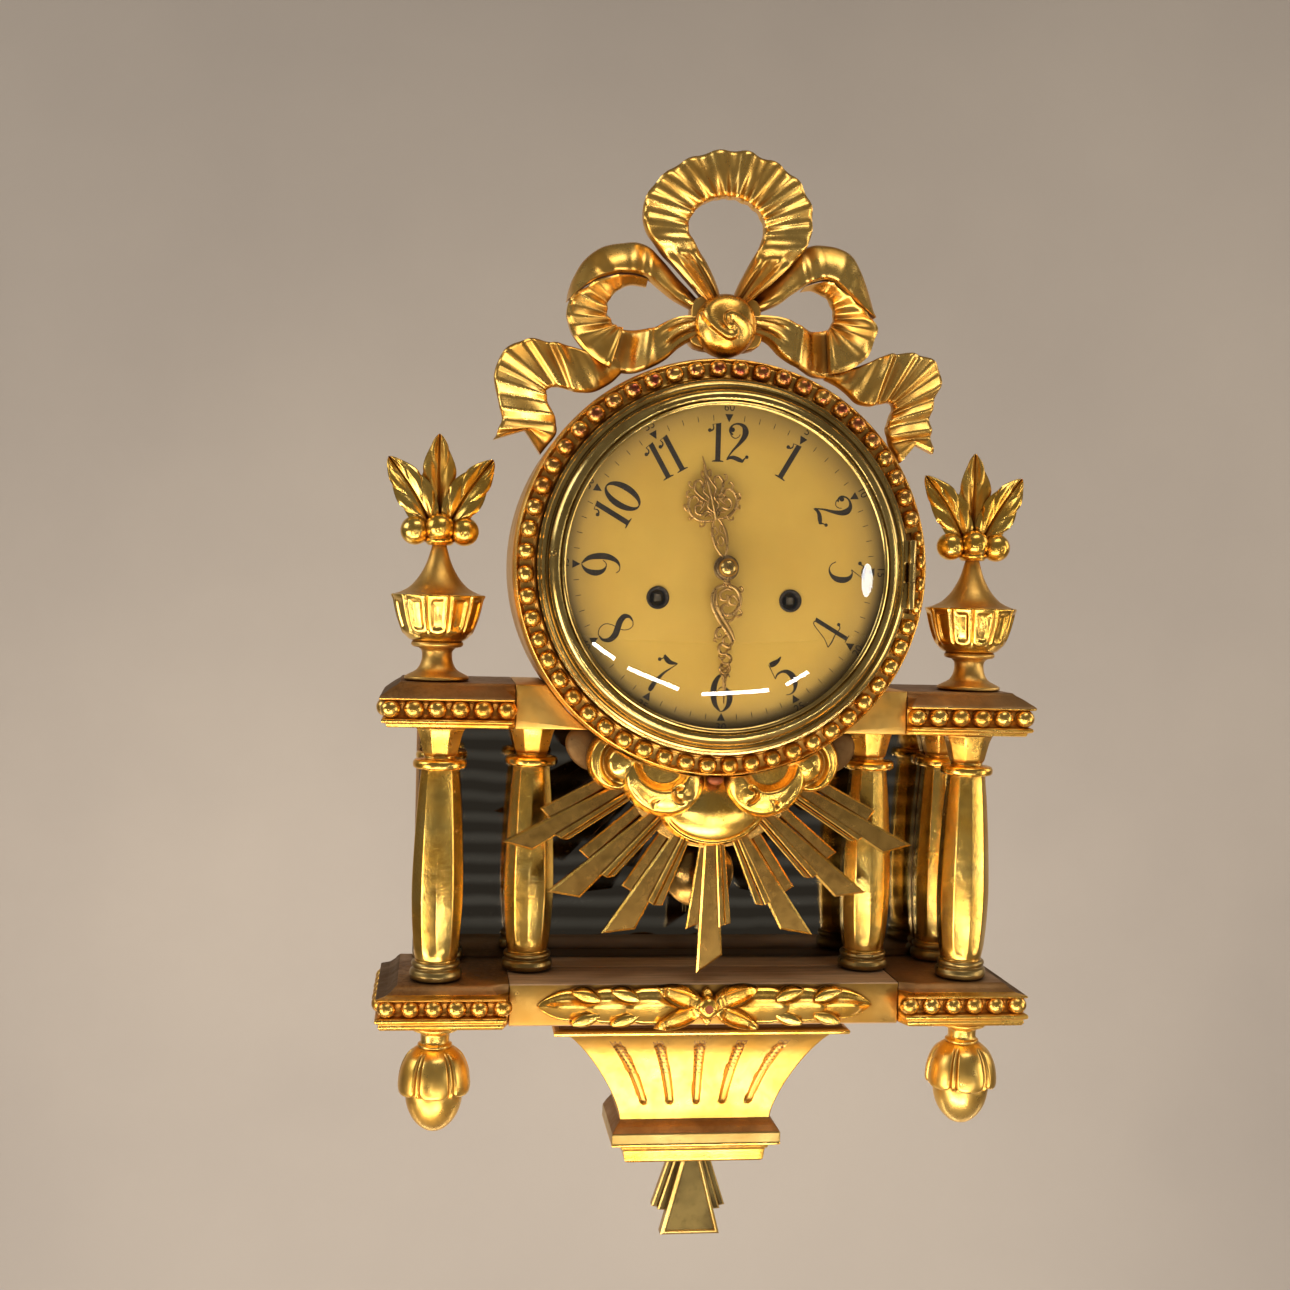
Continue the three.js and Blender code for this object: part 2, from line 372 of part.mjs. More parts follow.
// ------------------------------------------------------------------ pendulum
node('pendulum_leader', join(box(-2.5, 2.5, PEND_Q - 0.4, PEND_Q + 0.4, 62, 75.6), box(-3.4, 3.4, PEND_Q - 1.5, PEND_Q + 1.5, 60, 66),
  box(-1.8, 1.8, PEND_Q - 1.5, PEND_Q + 1.5, -10, 62)), M.brass());
node('pendulum_rod', join(box(-3.2, 3.2, PEND_Q - 1, PEND_Q + 1, -16, -10.3), box(-1.8, 1.8, PEND_Q - 1, PEND_Q + 1, -197, -14), turnedZ([[0, -214], [1.2, -214], [1.2, -195], [0, -195]], 0, PEND_Q, 10)), M.brass());
{
  const disc = turnedQ([[0, PEND_Q - 4.4], [14, PEND_Q - 3.6], [BOB_R - 0.8, PEND_Q - 0.8], [BOB_R, PEND_Q + 0], [BOB_R - 0.8, PEND_Q + 0.8], [14, PEND_Q + 3.6], [0, PEND_Q + 4.6]], 0, BOB_Z, 32);
  node('pendulum_bob', cut(disc, box(-2.2, 2.2, PEND_Q - 1.4, PEND_Q + 1.4, BOB_Z - 30, BOB_Z + 30)), M.brass());
}
node('rating_nut', cut(turnedZ([[0, -206.4], [3.6, -206.4], [4.2, -205.6], [4.2, -202.4], [3.6, -201.6], [0, -201.6]], 0, PEND_Q, 16),
  turnedZ([[0, -210], [1.55, -210], [1.55, -200], [0, -200]], 0, PEND_Q, 10)), M.brass());

// ------------------------------------------------------------- hinged bezel
{
  const knuckle = (z0, z1, r, bore = 0) => {
    const pts = bore ? [[bore, z0], [r, z0], [r, z1], [bore, z1], [bore, z0]] : [[0, z0], [r, z0], [r, z1], [0, z1]];
    return turnedZ(pts, HINGE_X, HINGE_Q, 12);
  };
  node('hinge_bracket', join(knuckle(-5, 5, 2.1), knuckle(-20.5, 18.5, 0.85), box(HINGE_X - 0.8, HINGE_X + 0.8, DRUM_FRONT + GAP, 92, -5, 5)), M.brass());
  const frame = ring([[99.5, 88.3], [BEZEL_R, 88.3], [BEZEL_R, 91.4], [98.8, 93.2], [97, 96.4], [93, 97], [91, 95.1], [93.9, 94.3], [93.9, 90.6], [99.5, 90.6]], 0, 0, SEG);
  const lugs = [box(100.6, HINGE_X - 0.4, 90, 92.4, 6, 17.6), box(100.6, HINGE_X - 0.4, 90, 92.4, -19.6, -6)];
  const bores = [knuckle(5.4, 18.2, 2.1), knuckle(-20.2, -5.4, 2.1)];
  node('bezel_frame', cut(join(frame, ...lugs, ...bores), knuckle(-30, 30, 1.15)), M.brass());
  const dome = (apex, rim, n) => Array.from({ length: n + 1 }, (_, i) => {
    const R = (GLASS_R * GLASS_R + (apex - rim) ** 2) / (2 * (apex - rim)), r = (GLASS_R * i) / n;
    return [r, apex - (R - Math.sqrt(R * R - r * r))];
  });
  node('bezel_glass', turnedQ([...dome(GLASS_APEX, 93.9, 5), ...dome(GLASS_APEX - 2, 91.9, 5).reverse()], 0, 0, SEG), M.glass());
}

// ---------------------------------------------------------------------- hands
function hand(name, pts, hubR, bore, q0, q1, deg) {
  const half = pts.map(([x, z]) => [x, z]);
  const s = shapeOf([...half, ...mirrorX(half).reverse().slice(half.at(0)[0] === 0 ? 0 : 0)]);
  const disc = ring([[bore, q0], [hubR, q0], [hubR, q1], [bore, q1]], 0, 0, 16);
  const blank = cut(plate(s, q0, q1), rod(0, 0, hubR - 0.8, q0 - 1, q1 + 1, 16));
  const mesh = node(name, join(blank, disc), M.brass());
  mesh.geometry.translate(0, MIRROR_Y, 0);
  mesh.position.y = -MIRROR_Y;
  mesh.rotation.y = (deg * Math.PI) / 180;
}
hand('hour_hand', [[3, 4], [2, 12], [4, 20], [2, 27], [9, 30], [16, 38], [15, 46], [8, 51], [2.5, 54], [0.6, 61]], 7, 3.8, 91, 92.8, HOUR_DEG);
hand('minute_hand', [[3, 5], [7.5, 10], [7.5, 16], [4, 22], [5, 32], [2, 41], [4.6, 47], [4.6, 51], [1.6, 56], [0.5, 72]], 6, 2.9, 94.6, 96, MINUTE_DEG);
node('hand_nut', turnedQ([[1.5, 97.3], [5, 97.3], [5, 98.6], [4, 101], [2, 102.3], [0, 102.6], [0, 101], [1.5, 101], [1.5, 97.3]].slice(0, -1).concat([[1.5, 97.3]]), 0, 0, 16), M.brass());

export default root;
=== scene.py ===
import bpy
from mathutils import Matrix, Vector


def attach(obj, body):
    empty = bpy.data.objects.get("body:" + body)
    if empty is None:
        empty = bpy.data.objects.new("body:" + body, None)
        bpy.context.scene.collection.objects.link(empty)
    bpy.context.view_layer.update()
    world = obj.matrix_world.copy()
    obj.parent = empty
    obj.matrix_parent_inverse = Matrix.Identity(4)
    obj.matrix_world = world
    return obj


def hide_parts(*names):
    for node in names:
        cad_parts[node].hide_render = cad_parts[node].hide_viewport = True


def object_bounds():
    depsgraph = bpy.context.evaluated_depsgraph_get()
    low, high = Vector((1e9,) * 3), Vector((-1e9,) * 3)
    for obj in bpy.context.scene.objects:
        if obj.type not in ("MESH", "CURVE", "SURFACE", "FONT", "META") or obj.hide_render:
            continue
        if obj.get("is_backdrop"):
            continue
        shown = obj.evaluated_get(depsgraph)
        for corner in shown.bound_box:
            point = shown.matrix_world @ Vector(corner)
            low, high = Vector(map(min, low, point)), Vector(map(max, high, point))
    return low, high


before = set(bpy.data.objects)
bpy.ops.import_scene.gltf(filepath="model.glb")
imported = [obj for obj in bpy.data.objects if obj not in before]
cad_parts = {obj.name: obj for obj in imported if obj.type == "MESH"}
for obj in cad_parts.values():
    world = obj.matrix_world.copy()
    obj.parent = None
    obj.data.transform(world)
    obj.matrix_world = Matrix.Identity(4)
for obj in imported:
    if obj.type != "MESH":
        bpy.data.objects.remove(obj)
CAD_LO, CAD_HI = [list(v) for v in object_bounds()]

import bpy, bmesh, math, random
import numpy as np
from mathutils import Vector, Matrix

# Pendulum wall clock in carved and gilt wood.
# Every piece below is worked out in (x, q, z): x to the viewer's right, q forward of the mirror's face,
# z above the dial's axis, all in mm. place() turns that into the frame's metres.

AXIS_DROP, MIRROR_Y = 80.0, 11.0
HOUR_DEG, MINUTE_DEG = 346.3, 180.0
TAU = 2 * math.pi


def place(v):
    v = np.asarray(v, float).reshape(-1, 3)
    out = np.empty_like(v)
    out[:, 0] = v[:, 0] / 1000
    out[:, 1] = -(v[:, 1] + MIRROR_Y) / 1000
    out[:, 2] = (v[:, 2] - AXIS_DROP) / 1000
    return out


# ---------------------------------------------------------------- camera
def camera():
    yaw, pitch, roll = 0.127, -0.033, 0.026
    f = Vector((math.sin(yaw) * math.cos(pitch), math.cos(yaw) * math.cos(pitch), math.sin(pitch)))
    r = Vector((math.cos(yaw), -math.sin(yaw), 0))
    u = r.cross(f)
    right = math.cos(roll) * r + math.sin(roll) * u
    up = -math.sin(roll) * r + math.cos(roll) * u
    cam = bpy.data.cameras.new("view")
    cam.sensor_fit, cam.sensor_width = "HORIZONTAL", 36.0
    cam.lens = 1611.9 * 36.0 / 1290.0
    cam.clip_start, cam.clip_end = 0.01, 50
    ob = bpy.data.objects.new("view", cam)
    bpy.context.scene.collection.objects.link(ob)
    m = Matrix.Identity(4)
    for k, v in enumerate((right, up, -f)):
        m[0][k], m[1][k], m[2][k] = v
    m[0][3], m[1][3], m[2][3] = -0.1559, -0.9795, -0.0943
    ob.matrix_world = m
    bpy.context.scene.camera = ob


camera()


# ---------------------------------------------------------------- materials
class Nodes:
    """A small helper that adds and links shader nodes."""

    def __init__(self, name):
        self.mat = bpy.data.materials.new(name)
        self.mat.use_nodes = True
        self.t = self.mat.node_tree
        self.t.nodes.clear()
        self.out = self.t.nodes.new("ShaderNodeOutputMaterial")
        self.b = self.t.nodes.new("ShaderNodeBsdfPrincipled")
        self.t.links.new(self.b.outputs[0], self.out.inputs["Surface"])
        self.pos = self.t.nodes.new("ShaderNodeTexCoord").outputs["Object"]

    def n(self, kind, **kw):
        node = self.t.nodes.new("ShaderNode" + kind)
        for k, v in kw.items():
            setattr(node, k, v)
        return node

    def link(self, a, b):
        self.t.links.new(a, b)
        return b

    def noise(self, scale, detail=4.0, rough=0.55, stretch=None, distort=0.0):
        node = self.n("TexNoise")
        node.inputs["Scale"].default_value = scale
        node.inputs["Detail"].default_value = detail
        node.inputs["Roughness"].default_value = rough
        node.inputs["Distortion"].default_value = distort
        src = self.pos
        if stretch:
            mp = self.n("Mapping")
            mp.inputs["Scale"].default_value = stretch
            self.link(src, mp.inputs["Vector"])
            src = mp.outputs["Vector"]
        self.link(src, node.inputs["Vector"])
        return node.outputs["Fac"]

    def ramp(self, fac, stops, mode="LINEAR"):
        node = self.n("ValToRGB")
        cr = node.color_ramp
        cr.interpolation = mode
        while len(cr.elements) < len(stops):
            cr.elements.new(0.5)
        for e, (p, c) in zip(cr.elements, stops):
            e.position = p
            e.color = (*c, 1.0) if not np.isscalar(c) else (c, c, c, 1.0)
        self.link(fac, node.inputs["Fac"])
        return node.outputs["Color"]

    def mix(self, fac, a, b, kind="MIX"):
        node = self.n("Mix", data_type="RGBA", blend_type=kind)
        for s, v in ((node.inputs["Factor"], fac), (node.inputs[6], a), (node.inputs[7], b)):
            if hasattr(v, "is_linked") or hasattr(v, "links"):
                self.link(v, s)
            elif np.isscalar(v):
                s.default_value = v
            else:
                s.default_value = (*v, 1.0)
        return node.outputs[2]

    def math(self, op, a, b=0.0, clamp=False):
        node = self.n("Math", operation=op, use_clamp=clamp)
        for s, v in ((node.inputs[0], a), (node.inputs[1], b)):
            if np.isscalar(v):
                s.default_value = v
            else:
                self.link(v, s)
        return node.outputs[0]

    def span(self, v, a, b, lo, hi):
        node = self.n("MapRange")
        node.clamp = True
        for k, x in enumerate((a, b, lo, hi)):
            node.inputs[k + 1].default_value = x
        self.link(v, node.inputs[0])
        return node.outputs[0]

    def recess(self, distance, samples=6):
        node = self.n("AmbientOcclusion", samples=samples)
        node.inputs["Distance"].default_value = distance
        return node.outputs["AO"]

    def point(self):
        return self.n("NewGeometry").outputs["Pointiness"]

    def bump(self, height, strength, distance=0.001):
        node = self.n("Bump")
        node.inputs["Strength"].default_value = strength
        node.inputs["Distance"].default_value = distance
        self.link(height, node.inputs["Height"])
        self.link(node.outputs["Normal"], self.b.inputs["Normal"])
        return node.outputs["Normal"]


def gilt(name, bright=(0.98, 0.66, 0.19), deep=(0.80, 0.42, 0.075), bole=(0.33, 0.085, 0.02), rough=(0.17, 0.34),
         wear=0.5, dirt_and_shade=0.75, dist=0.006, lay=1.0, bump=0.25, metal=1.0, crown=None):
    """Burnished gold leaf over red-brown bole: leaf-to-leaf tone, rubbed high edges, recesses darkened by painted shade
    with dirt, fine tooling marks.
    """
    m = Nodes(name)
    m.b.inputs["Metallic"].default_value = metal
    big = m.noise(38, 3, 0.5)
    mid = m.noise(170, 4, 0.6)
    fine = m.noise(1400, 3, 0.6)
    tone = m.mix(m.span(big, 0.35, 0.68, 0, 1), bright, deep)
    tone = m.mix(m.span(mid, 0.52, 0.78, 0, 0.55), tone, deep)
    # painted shade with dirt: an ambient occlusion mask darkens the recesses towards dark bole
    ao = m.recess(dist)
    cavity = m.span(ao, 0.30, 0.92, dirt_and_shade, 0.0)
    tone = m.mix(cavity, tone, tuple(c * 0.62 for c in bole))
    edge = m.math("MULTIPLY", m.span(m.point(), 0.535, 0.62, 0, 1), m.span(m.noise(420, 5, 0.7), 0.42, 0.62, 0, 1))
    tone = m.mix(m.math("MULTIPLY", edge, wear), tone, bole)
    if crown:
        sep = m.n("SeparateXYZ")
        m.link(m.pos, sep.inputs[0])
        high = m.span(m.math("MULTIPLY", sep.outputs["Y"], -1.0), crown[0], crown[1], 0, 1)
        upper = m.span(sep.outputs["Z"], crown[2], crown[3], 0, 1)
        rub = m.span(m.noise(150, 4, 0.6), 0.36, 0.56, 0, 1)
        tone = m.mix(m.math("MULTIPLY", m.math("MULTIPLY", high, upper), rub), tone, (0.42, 0.085, 0.045))
    m.link(tone, m.b.inputs["Base Color"])
    r = m.span(m.math("ADD", m.math("MULTIPLY", mid, 0.6), m.math("MULTIPLY", big, 0.4)), 0.35, 0.68, rough[0], rough[1])
    r = m.math("ADD", r, m.math("MULTIPLY", cavity, 0.25), clamp=True)
    m.link(r, m.b.inputs["Roughness"])
    h = m.math("ADD", m.math("MULTIPLY", mid, 0.75 * lay), m.math("MULTIPLY", fine, 0.22))
    m.bump(h, bump, 0.0012)
    return m.mat


def brass(name, col=(0.80, 0.60, 0.24), dark=(0.50, 0.32, 0.09), rough=(0.10, 0.26), turned=True, bump=0.06):
    m = Nodes(name)
    m.b.inputs["Metallic"].default_value = 1.0
    big = m.noise(60, 3, 0.55)
    spots = m.noise(500, 5, 0.7)
    c = m.mix(m.span(big, 0.38, 0.7, 0, 0.75), col, dark)
    c = m.mix(m.span(spots, 0.6, 0.82, 0, 0.6), c, (0.30, 0.17, 0.05))
    c = m.mix(m.span(m.recess(0.003), 0.25, 0.9, 0.7, 0), c, (0.10, 0.055, 0.018))
    m.link(c, m.b.inputs["Base Color"])
    m.link(m.span(spots, 0.35, 0.75, rough[0], rough[1]), m.b.inputs["Roughness"])
    m.bump(m.math("ADD", m.math("MULTIPLY", spots, 0.5), m.math("MULTIPLY", m.noise(2600, 2), 0.5)), bump, 0.0006)
    return m.mat


def steel(name, col=(0.42, 0.43, 0.45), rough=(0.22, 0.45)):
    m = Nodes(name)
    m.b.inputs["Metallic"].default_value = 1.0
    a, b = m.noise(90, 4), m.noise(900, 5, 0.7)
    c = m.mix(m.span(a, 0.4, 0.7, 0, 1), col, tuple(x * 0.6 for x in col))
    c = m.mix(m.span(b, 0.62, 0.8, 0, 0.8), c, (0.16, 0.09, 0.05))
    m.link(c, m.b.inputs["Base Color"])
    m.link(m.span(b, 0.35, 0.7, rough[0], rough[1]), m.b.inputs["Roughness"])
    m.bump(b, 0.12, 0.0006)
    return m.mat


def wood(name, light=(0.42, 0.24, 0.11), dark=(0.17, 0.085, 0.036), axis=0, rough=(0.5, 0.75), bump=0.25):
    """Plain stained wood: long fibres, pores and handling marks along one axis."""
    m = Nodes(name)
    s = [26.0, 26.0, 26.0]
    s[axis] = 1.6
    grain = m.noise(11, 8, 0.62, stretch=tuple(s), distort=0.6)
    s2 = [90.0, 90.0, 90.0]
    s2[axis] = 4
    pores = m.noise(14, 4, 0.6, stretch=tuple(s2))
    c = m.ramp(grain, [(0.30, dark), (0.52, tuple((a + b) / 2 for a, b in zip(light, dark))), (0.72, light)])
    c = m.mix(m.span(pores, 0.55, 0.72, 0, 0.6), c, tuple(x * 0.45 for x in dark))
    c = m.mix(m.span(m.noise(17, 3), 0.45, 0.75, 0, 0.45), c, dark)
    # painted shade: an ambient occlusion mask darkens recesses to near black
    c = m.mix(m.span(m.recess(0.008), 0.3, 0.9, 0.6, 0), c, (0.03, 0.018, 0.01))
    m.link(c, m.b.inputs["Base Color"])
    m.link(m.span(grain, 0.3, 0.7, rough[1], rough[0]), m.b.inputs["Roughness"])
    m.bump(m.math("ADD", m.math("MULTIPLY", grain, 0.6), m.math("MULTIPLY", pores, 0.4)), bump, 0.0008)
    return m.mat


def dial_paint():
    """Gilt brass dial under old lacquer: fine matt grain, with painted shade of the bezel towards the rim, near black
    at the edge and most at the bottom.
    """
    m = Nodes("dial_paint")
    m.b.inputs["Metallic"].default_value = 0.35
    sep = m.n("SeparateXYZ")
    m.link(m.pos, sep.inputs[0])
    dz = m.math("ADD", sep.outputs["Z"], AXIS_DROP / 1000)
    rr = m.math("SQRT", m.math("ADD", m.math("MULTIPLY", sep.outputs["X"], sep.outputs["X"]), m.math("MULTIPLY", dz, dz)))
    big, fine = m.noise(22, 3), m.noise(2200, 3, 0.6)
    c = m.mix(m.span(big, 0.35, 0.7, 0, 1), (0.43, 0.270, 0.043), (0.385, 0.232, 0.032))
    c = m.mix(m.span(fine, 0.4, 0.75, 0, 0.3), c, (0.34, 0.20, 0.036))
    c = m.mix(m.span(m.noise(70, 6, 0.75), 0.66, 0.8, 0, 0.35), c, (0.27, 0.16, 0.05))
    # painted shade of the bezel: darker towards the rim
    c = m.mix(m.span(rr, 0.068, 0.089, 0, 0.55), c, (0.235, 0.15, 0.042))
    # painted shadow at the very rim: near black, strongest low on the dial and weakest at the top
    low = m.span(dz, -0.03, 0.08, 1.0, 0.30)
    c = m.mix(m.math("MULTIPLY", m.span(rr, 0.0815, 0.0905, 0, 0.95), low), c, (0.018, 0.012, 0.006))
    m.link(c, m.b.inputs["Base Color"])
    m.link(m.span(fine, 0.3, 0.7, 0.42, 0.56), m.b.inputs["Roughness"])
    m.bump(fine, 0.10, 0.0004)
    return m.mat


def ink():
    m = Nodes("numeral_black")
    big, fine = m.noise(300, 3), m.noise(3000, 3)
    m.link(m.mix(m.span(big, 0.4, 0.7, 0, 1), (0.007, 0.004, 0.002), (0.018, 0.011, 0.006)), m.b.inputs["Base Color"])
    m.b.inputs["Specular IOR Level"].default_value = 0.25
    m.link(m.span(fine, 0.3, 0.7, 0.52, 0.7), m.b.inputs["Roughness"])
    m.bump(fine, 0.12, 0.0003)
    return m.mat


def mirror():
    """Old silvered glass, dulled and spotted with age, with soft horizontal bands in its colour as a painted reflection
    of the room.
    """
    m = Nodes("old_mirror")
    m.b.inputs["Metallic"].default_value = 1.0
    m.b.inputs["IOR"].default_value = 1.52
    # painted reflection: horizontal light and dark bands drawn into the base colour
    wave = m.n("TexWave", wave_type="BANDS", bands_direction="Z", wave_profile="SIN")
    for k, v in (("Scale", 25.0), ("Distortion", 1.5), ("Detail", 3.0), ("Detail Scale", 0.7), ("Detail Roughness", 0.6)):
        wave.inputs[k].default_value = v
    m.link(m.pos, wave.inputs["Vector"])
    painted_reflection_band = m.math("ADD", m.math("MULTIPLY", wave.outputs["Fac"], 0.75), m.math("MULTIPLY", m.noise(9, 5, 0.6, stretch=(0.6, 1, 9), distort=0.5), 0.45))
    spots = m.noise(260, 5, 0.75)
    c = m.mix(m.span(painted_reflection_band, 0.42, 1.02, 0, 1), (0.155, 0.14, 0.115), (0.31, 0.30, 0.262))
    c = m.mix(m.span(spots, 0.64, 0.8, 0, 0.8), c, (0.07, 0.05, 0.035))
    m.link(c, m.b.inputs["Base Color"])
    m.link(m.math("ADD", m.span(painted_reflection_band, 0.35, 0.9, 0.03, 0.09), m.span(spots, 0.6, 0.85, 0, 0.35)), m.b.inputs["Roughness"])
    m.bump(m.noise(14, 2), 0.02, 0.001)
    return m.mat


def clear_glass():
    """Thin clock glass: clear, with a film of dust and faint wipe marks."""
    m = Nodes("clock_glass")
    m.b.inputs["Transmission Weight"].default_value = 1.0
    m.b.inputs["IOR"].default_value = 1.45
    m.link(m.mix(m.span(m.noise(55, 4), 0.4, 0.7, 0, 1), (1.0, 1.0, 0.99), (0.97, 0.985, 0.97)), m.b.inputs["Base Color"])
    m.link(m.span(m.noise(120, 5, 0.7), 0.45, 0.8, 0.0, 0.035), m.b.inputs["Roughness"])
    m.bump(m.noise(16, 2), 0.012, 0.001)
    # light passes straight through to the dial, so the glass casts no black shadow
    lp, tr, mx = m.n("LightPath"), m.n("BsdfTransparent"), m.n("MixShader")
    m.link(lp.outputs["Is Shadow Ray"], mx.inputs[0])
    m.link(m.b.outputs[0], mx.inputs[1])
    m.link(tr.outputs[0], mx.inputs[2])
    m.link(mx.outputs[0], m.out.inputs["Surface"])
    return m.mat


GILT = gilt("gold_leaf", bright=(1.0, 0.63, 0.145), deep=(0.86, 0.42, 0.055), rough=(0.22, 0.40))
GILT_BRIGHT = gilt("gold_leaf_burnished", bright=(1.0, 0.67, 0.175), deep=(0.92, 0.50, 0.075), rough=(0.14, 0.30), wear=0.35, dirt_and_shade=0.8, bump=0.18)
GILT_DULL = gilt("gold_leaf_matt", bright=(0.86, 0.53, 0.15), deep=(0.66, 0.35, 0.07), bole=(0.22, 0.09, 0.035), rough=(0.32, 0.5), wear=0.6, bump=0.32)
GILT_BEAD = gilt("gold_leaf_beads", bright=(0.97, 0.61, 0.15), deep=(0.74, 0.35, 0.055), bole=(0.36, 0.09, 0.03), rough=(0.20, 0.34), wear=0.8, dirt_and_shade=0.65, dist=0.0025, bump=0.22)
RING_GILT = gilt("gold_leaf_bead_ring", bright=(0.97, 0.61, 0.15), deep=(0.74, 0.35, 0.055), bole=(0.30, 0.09, 0.03), rough=(0.20, 0.34), wear=0.8, dirt_and_shade=0.70, dist=0.003, bump=0.22,
                 crown=(0.0985, 0.1000, -0.075, 0.015))
RIBBON = gilt("gold_leaf_ribbon", bright=(1.0, 0.64, 0.175), deep=(0.88, 0.46, 0.085), rough=(0.23, 0.37), wear=0.30, dirt_and_shade=0.80, dist=0.009, lay=0.6, bump=0.12)
BEAM_FACE = gilt("gold_leaf_beam", bright=(1.0, 0.61, 0.16), deep=(0.93, 0.49, 0.09), rough=(0.34, 0.48), wear=0.10, dirt_and_shade=0.6, lay=0.5, bump=0.10)
# very dark gilt that paints shade onto moulding sides and the rear cloud lobes
SIDE_PAINTED_SHADE = gilt("dark_side_painted_shade", bright=(0.24, 0.14, 0.06), deep=(0.15, 0.08, 0.03), bole=(0.08, 0.04, 0.02), rough=(0.5, 0.7), wear=0.5, dirt_and_shade=0.8, bump=0.4)
SHELF_FACE = gilt("gold_leaf_shelf_face", bright=(0.58, 0.335, 0.085), deep=(0.45, 0.235, 0.046), rough=(0.26, 0.40), wear=0.12, dirt_and_shade=0.7, bump=0.12)
ACORN = gilt("gold_leaf_satin", bright=(0.98, 0.65, 0.18), deep=(0.88, 0.49, 0.09), rough=(0.24, 0.38), wear=0.30, dirt_and_shade=0.7, lay=0.6, bump=0.12)
FASCIA = gilt("gold_leaf_plain_face", bright=(0.93, 0.57, 0.15), deep=(0.80, 0.44, 0.085), rough=(0.26, 0.40), wear=0.12, dirt_and_shade=0.7, bump=0.12)
OLIVE_GILT = gilt("gold_leaf_olive", bright=(0.66, 0.45, 0.15), deep=(0.48, 0.30, 0.08), bole=(0.20, 0.09, 0.035), rough=(0.26, 0.42), wear=0.3, dirt_and_shade=0.7, bump=0.16)
# darkened gilt for the flat blade faces of tail and sunburst: a painted dark reflection of the room
TAIL_FACE = gilt("tail_face_painted_dark_reflection", bright=(0.125, 0.09, 0.032), deep=(0.05, 0.035, 0.014), bole=(0.06, 0.035, 0.015), rough=(0.28, 0.46), wear=0.25, dirt_and_shade=0.6, bump=0.10)
RAY_FACE = gilt("ray_face_painted_dark_reflection", bright=(0.60, 0.345, 0.085), deep=(0.36, 0.19, 0.045), bole=(0.13, 0.05, 0.02), rough=(0.17, 0.30), wear=0.10, dirt_and_shade=0.8, lay=0.4, bump=0.035)
BOLE = gilt("worn_red_bole", bright=(0.40, 0.13, 0.05), deep=(0.27, 0.065, 0.025), bole=(0.15, 0.03, 0.015), rough=(0.35, 0.55), wear=0.8, dirt_and_shade=0.8, bump=0.3, metal=0.6)
# dark brown gilt: painted shade on upward faces that the low lamps leave dark, and worn gilding on the console flutes
BROWN_SHADE_AND_WEAR = gilt("worn_gilding_and_painted_top_shade", bright=(0.47, 0.27, 0.11), deep=(0.31, 0.16, 0.06), bole=(0.10, 0.045, 0.02), rough=(0.42, 0.62), wear=0.5, dirt_and_shade=0.8, bump=0.45)
BRONZE = gilt("bronzed_base", bright=(0.52, 0.37, 0.14), deep=(0.34, 0.21, 0.06), bole=(0.10, 0.05, 0.02), rough=(0.25, 0.42), wear=0.4, dirt_and_shade=0.7, bump=0.2)
BRASS = brass("lacquered_brass", col=(0.70, 0.49, 0.17), dark=(0.45, 0.28, 0.075), rough=(0.14, 0.27))
BRASS_MATT = brass("movement_brass", col=(0.66, 0.49, 0.21), dark=(0.42, 0.28, 0.10), rough=(0.28, 0.48))
BOB_BRASS = brass("bob_brass", col=(0.36, 0.20, 0.055), dark=(0.19, 0.095, 0.026), rough=(0.12, 0.24))
PINK_GILT = brass("hand_gilding", col=(0.50, 0.31, 0.11), dark=(0.23, 0.125, 0.038), rough=(0.24, 0.42), bump=0.15)
# dark brass for the hand collets, also painting shade on the bezel's inner wall
DARK_BRASS = brass("dark_collet_and_painted_bezel_shade", col=(0.20, 0.13, 0.06), dark=(0.07, 0.045, 0.02), rough=(0.25, 0.4))
STEEL = steel("movement_steel")
ARBOR = steel("arbor_steel", col=(0.15, 0.12, 0.08), rough=(0.3, 0.5))
STEEL_BLUE = steel("gong_steel", col=(0.16, 0.17, 0.20), rough=(0.25, 0.4))
WOOD_BACK = wood("pine_back", light=(0.50, 0.31, 0.15), dark=(0.26, 0.145, 0.065), axis=2)
SHELF_WOOD = wood("stained_shelf", light=(0.64, 0.40, 0.21), dark=(0.34, 0.20, 0.105), axis=0, rough=(0.42, 0.6))
SHELF_REAR = wood("stained_shelf_rear", light=(0.80, 0.56, 0.33), dark=(0.48, 0.31, 0.175), axis=0, rough=(0.40, 0.58))
DIAL = dial_paint()
INK = ink()
MIRROR = mirror()
GLASS = clear_glass()


# ---------------------------------------------------------------- mesh tools
class Body:
    """Vertices in (x, q, z) mm and faces, gathered from several shells."""

    def __init__(self):
        self.v, self.f, self.m, self.n = [], [], [], 0

    def add(self, verts, faces, mat=0):
        verts = np.asarray(verts, float).reshape(-1, 3)
        self.v.append(verts)
        for f in faces:
            self.f.append([int(i) + self.n for i in f])
            self.m.append(mat)
        self.n += len(verts)
        return self

    def join(self, other, mat=None):
        v = np.concatenate(other.v)
        self.v.append(v)
        for f, k in zip(other.f, other.m):
            self.f.append([i + self.n for i in f])
            self.m.append(k if mat is None else mat)
        self.n += len(v)
        return self

    def moved(self, fn):
        out = Body()
        v = fn(np.concatenate(self.v).copy())
        out.v, out.f, out.m, out.n = [v], [list(f) for f in self.f], list(self.m), len(v)
        return out


def flip_x(v):
    v[:, 0] *= -1
    return v


def shift(dx=0, dq=0, dz=0):
    return lambda v: v + np.array([dx, dq, dz])


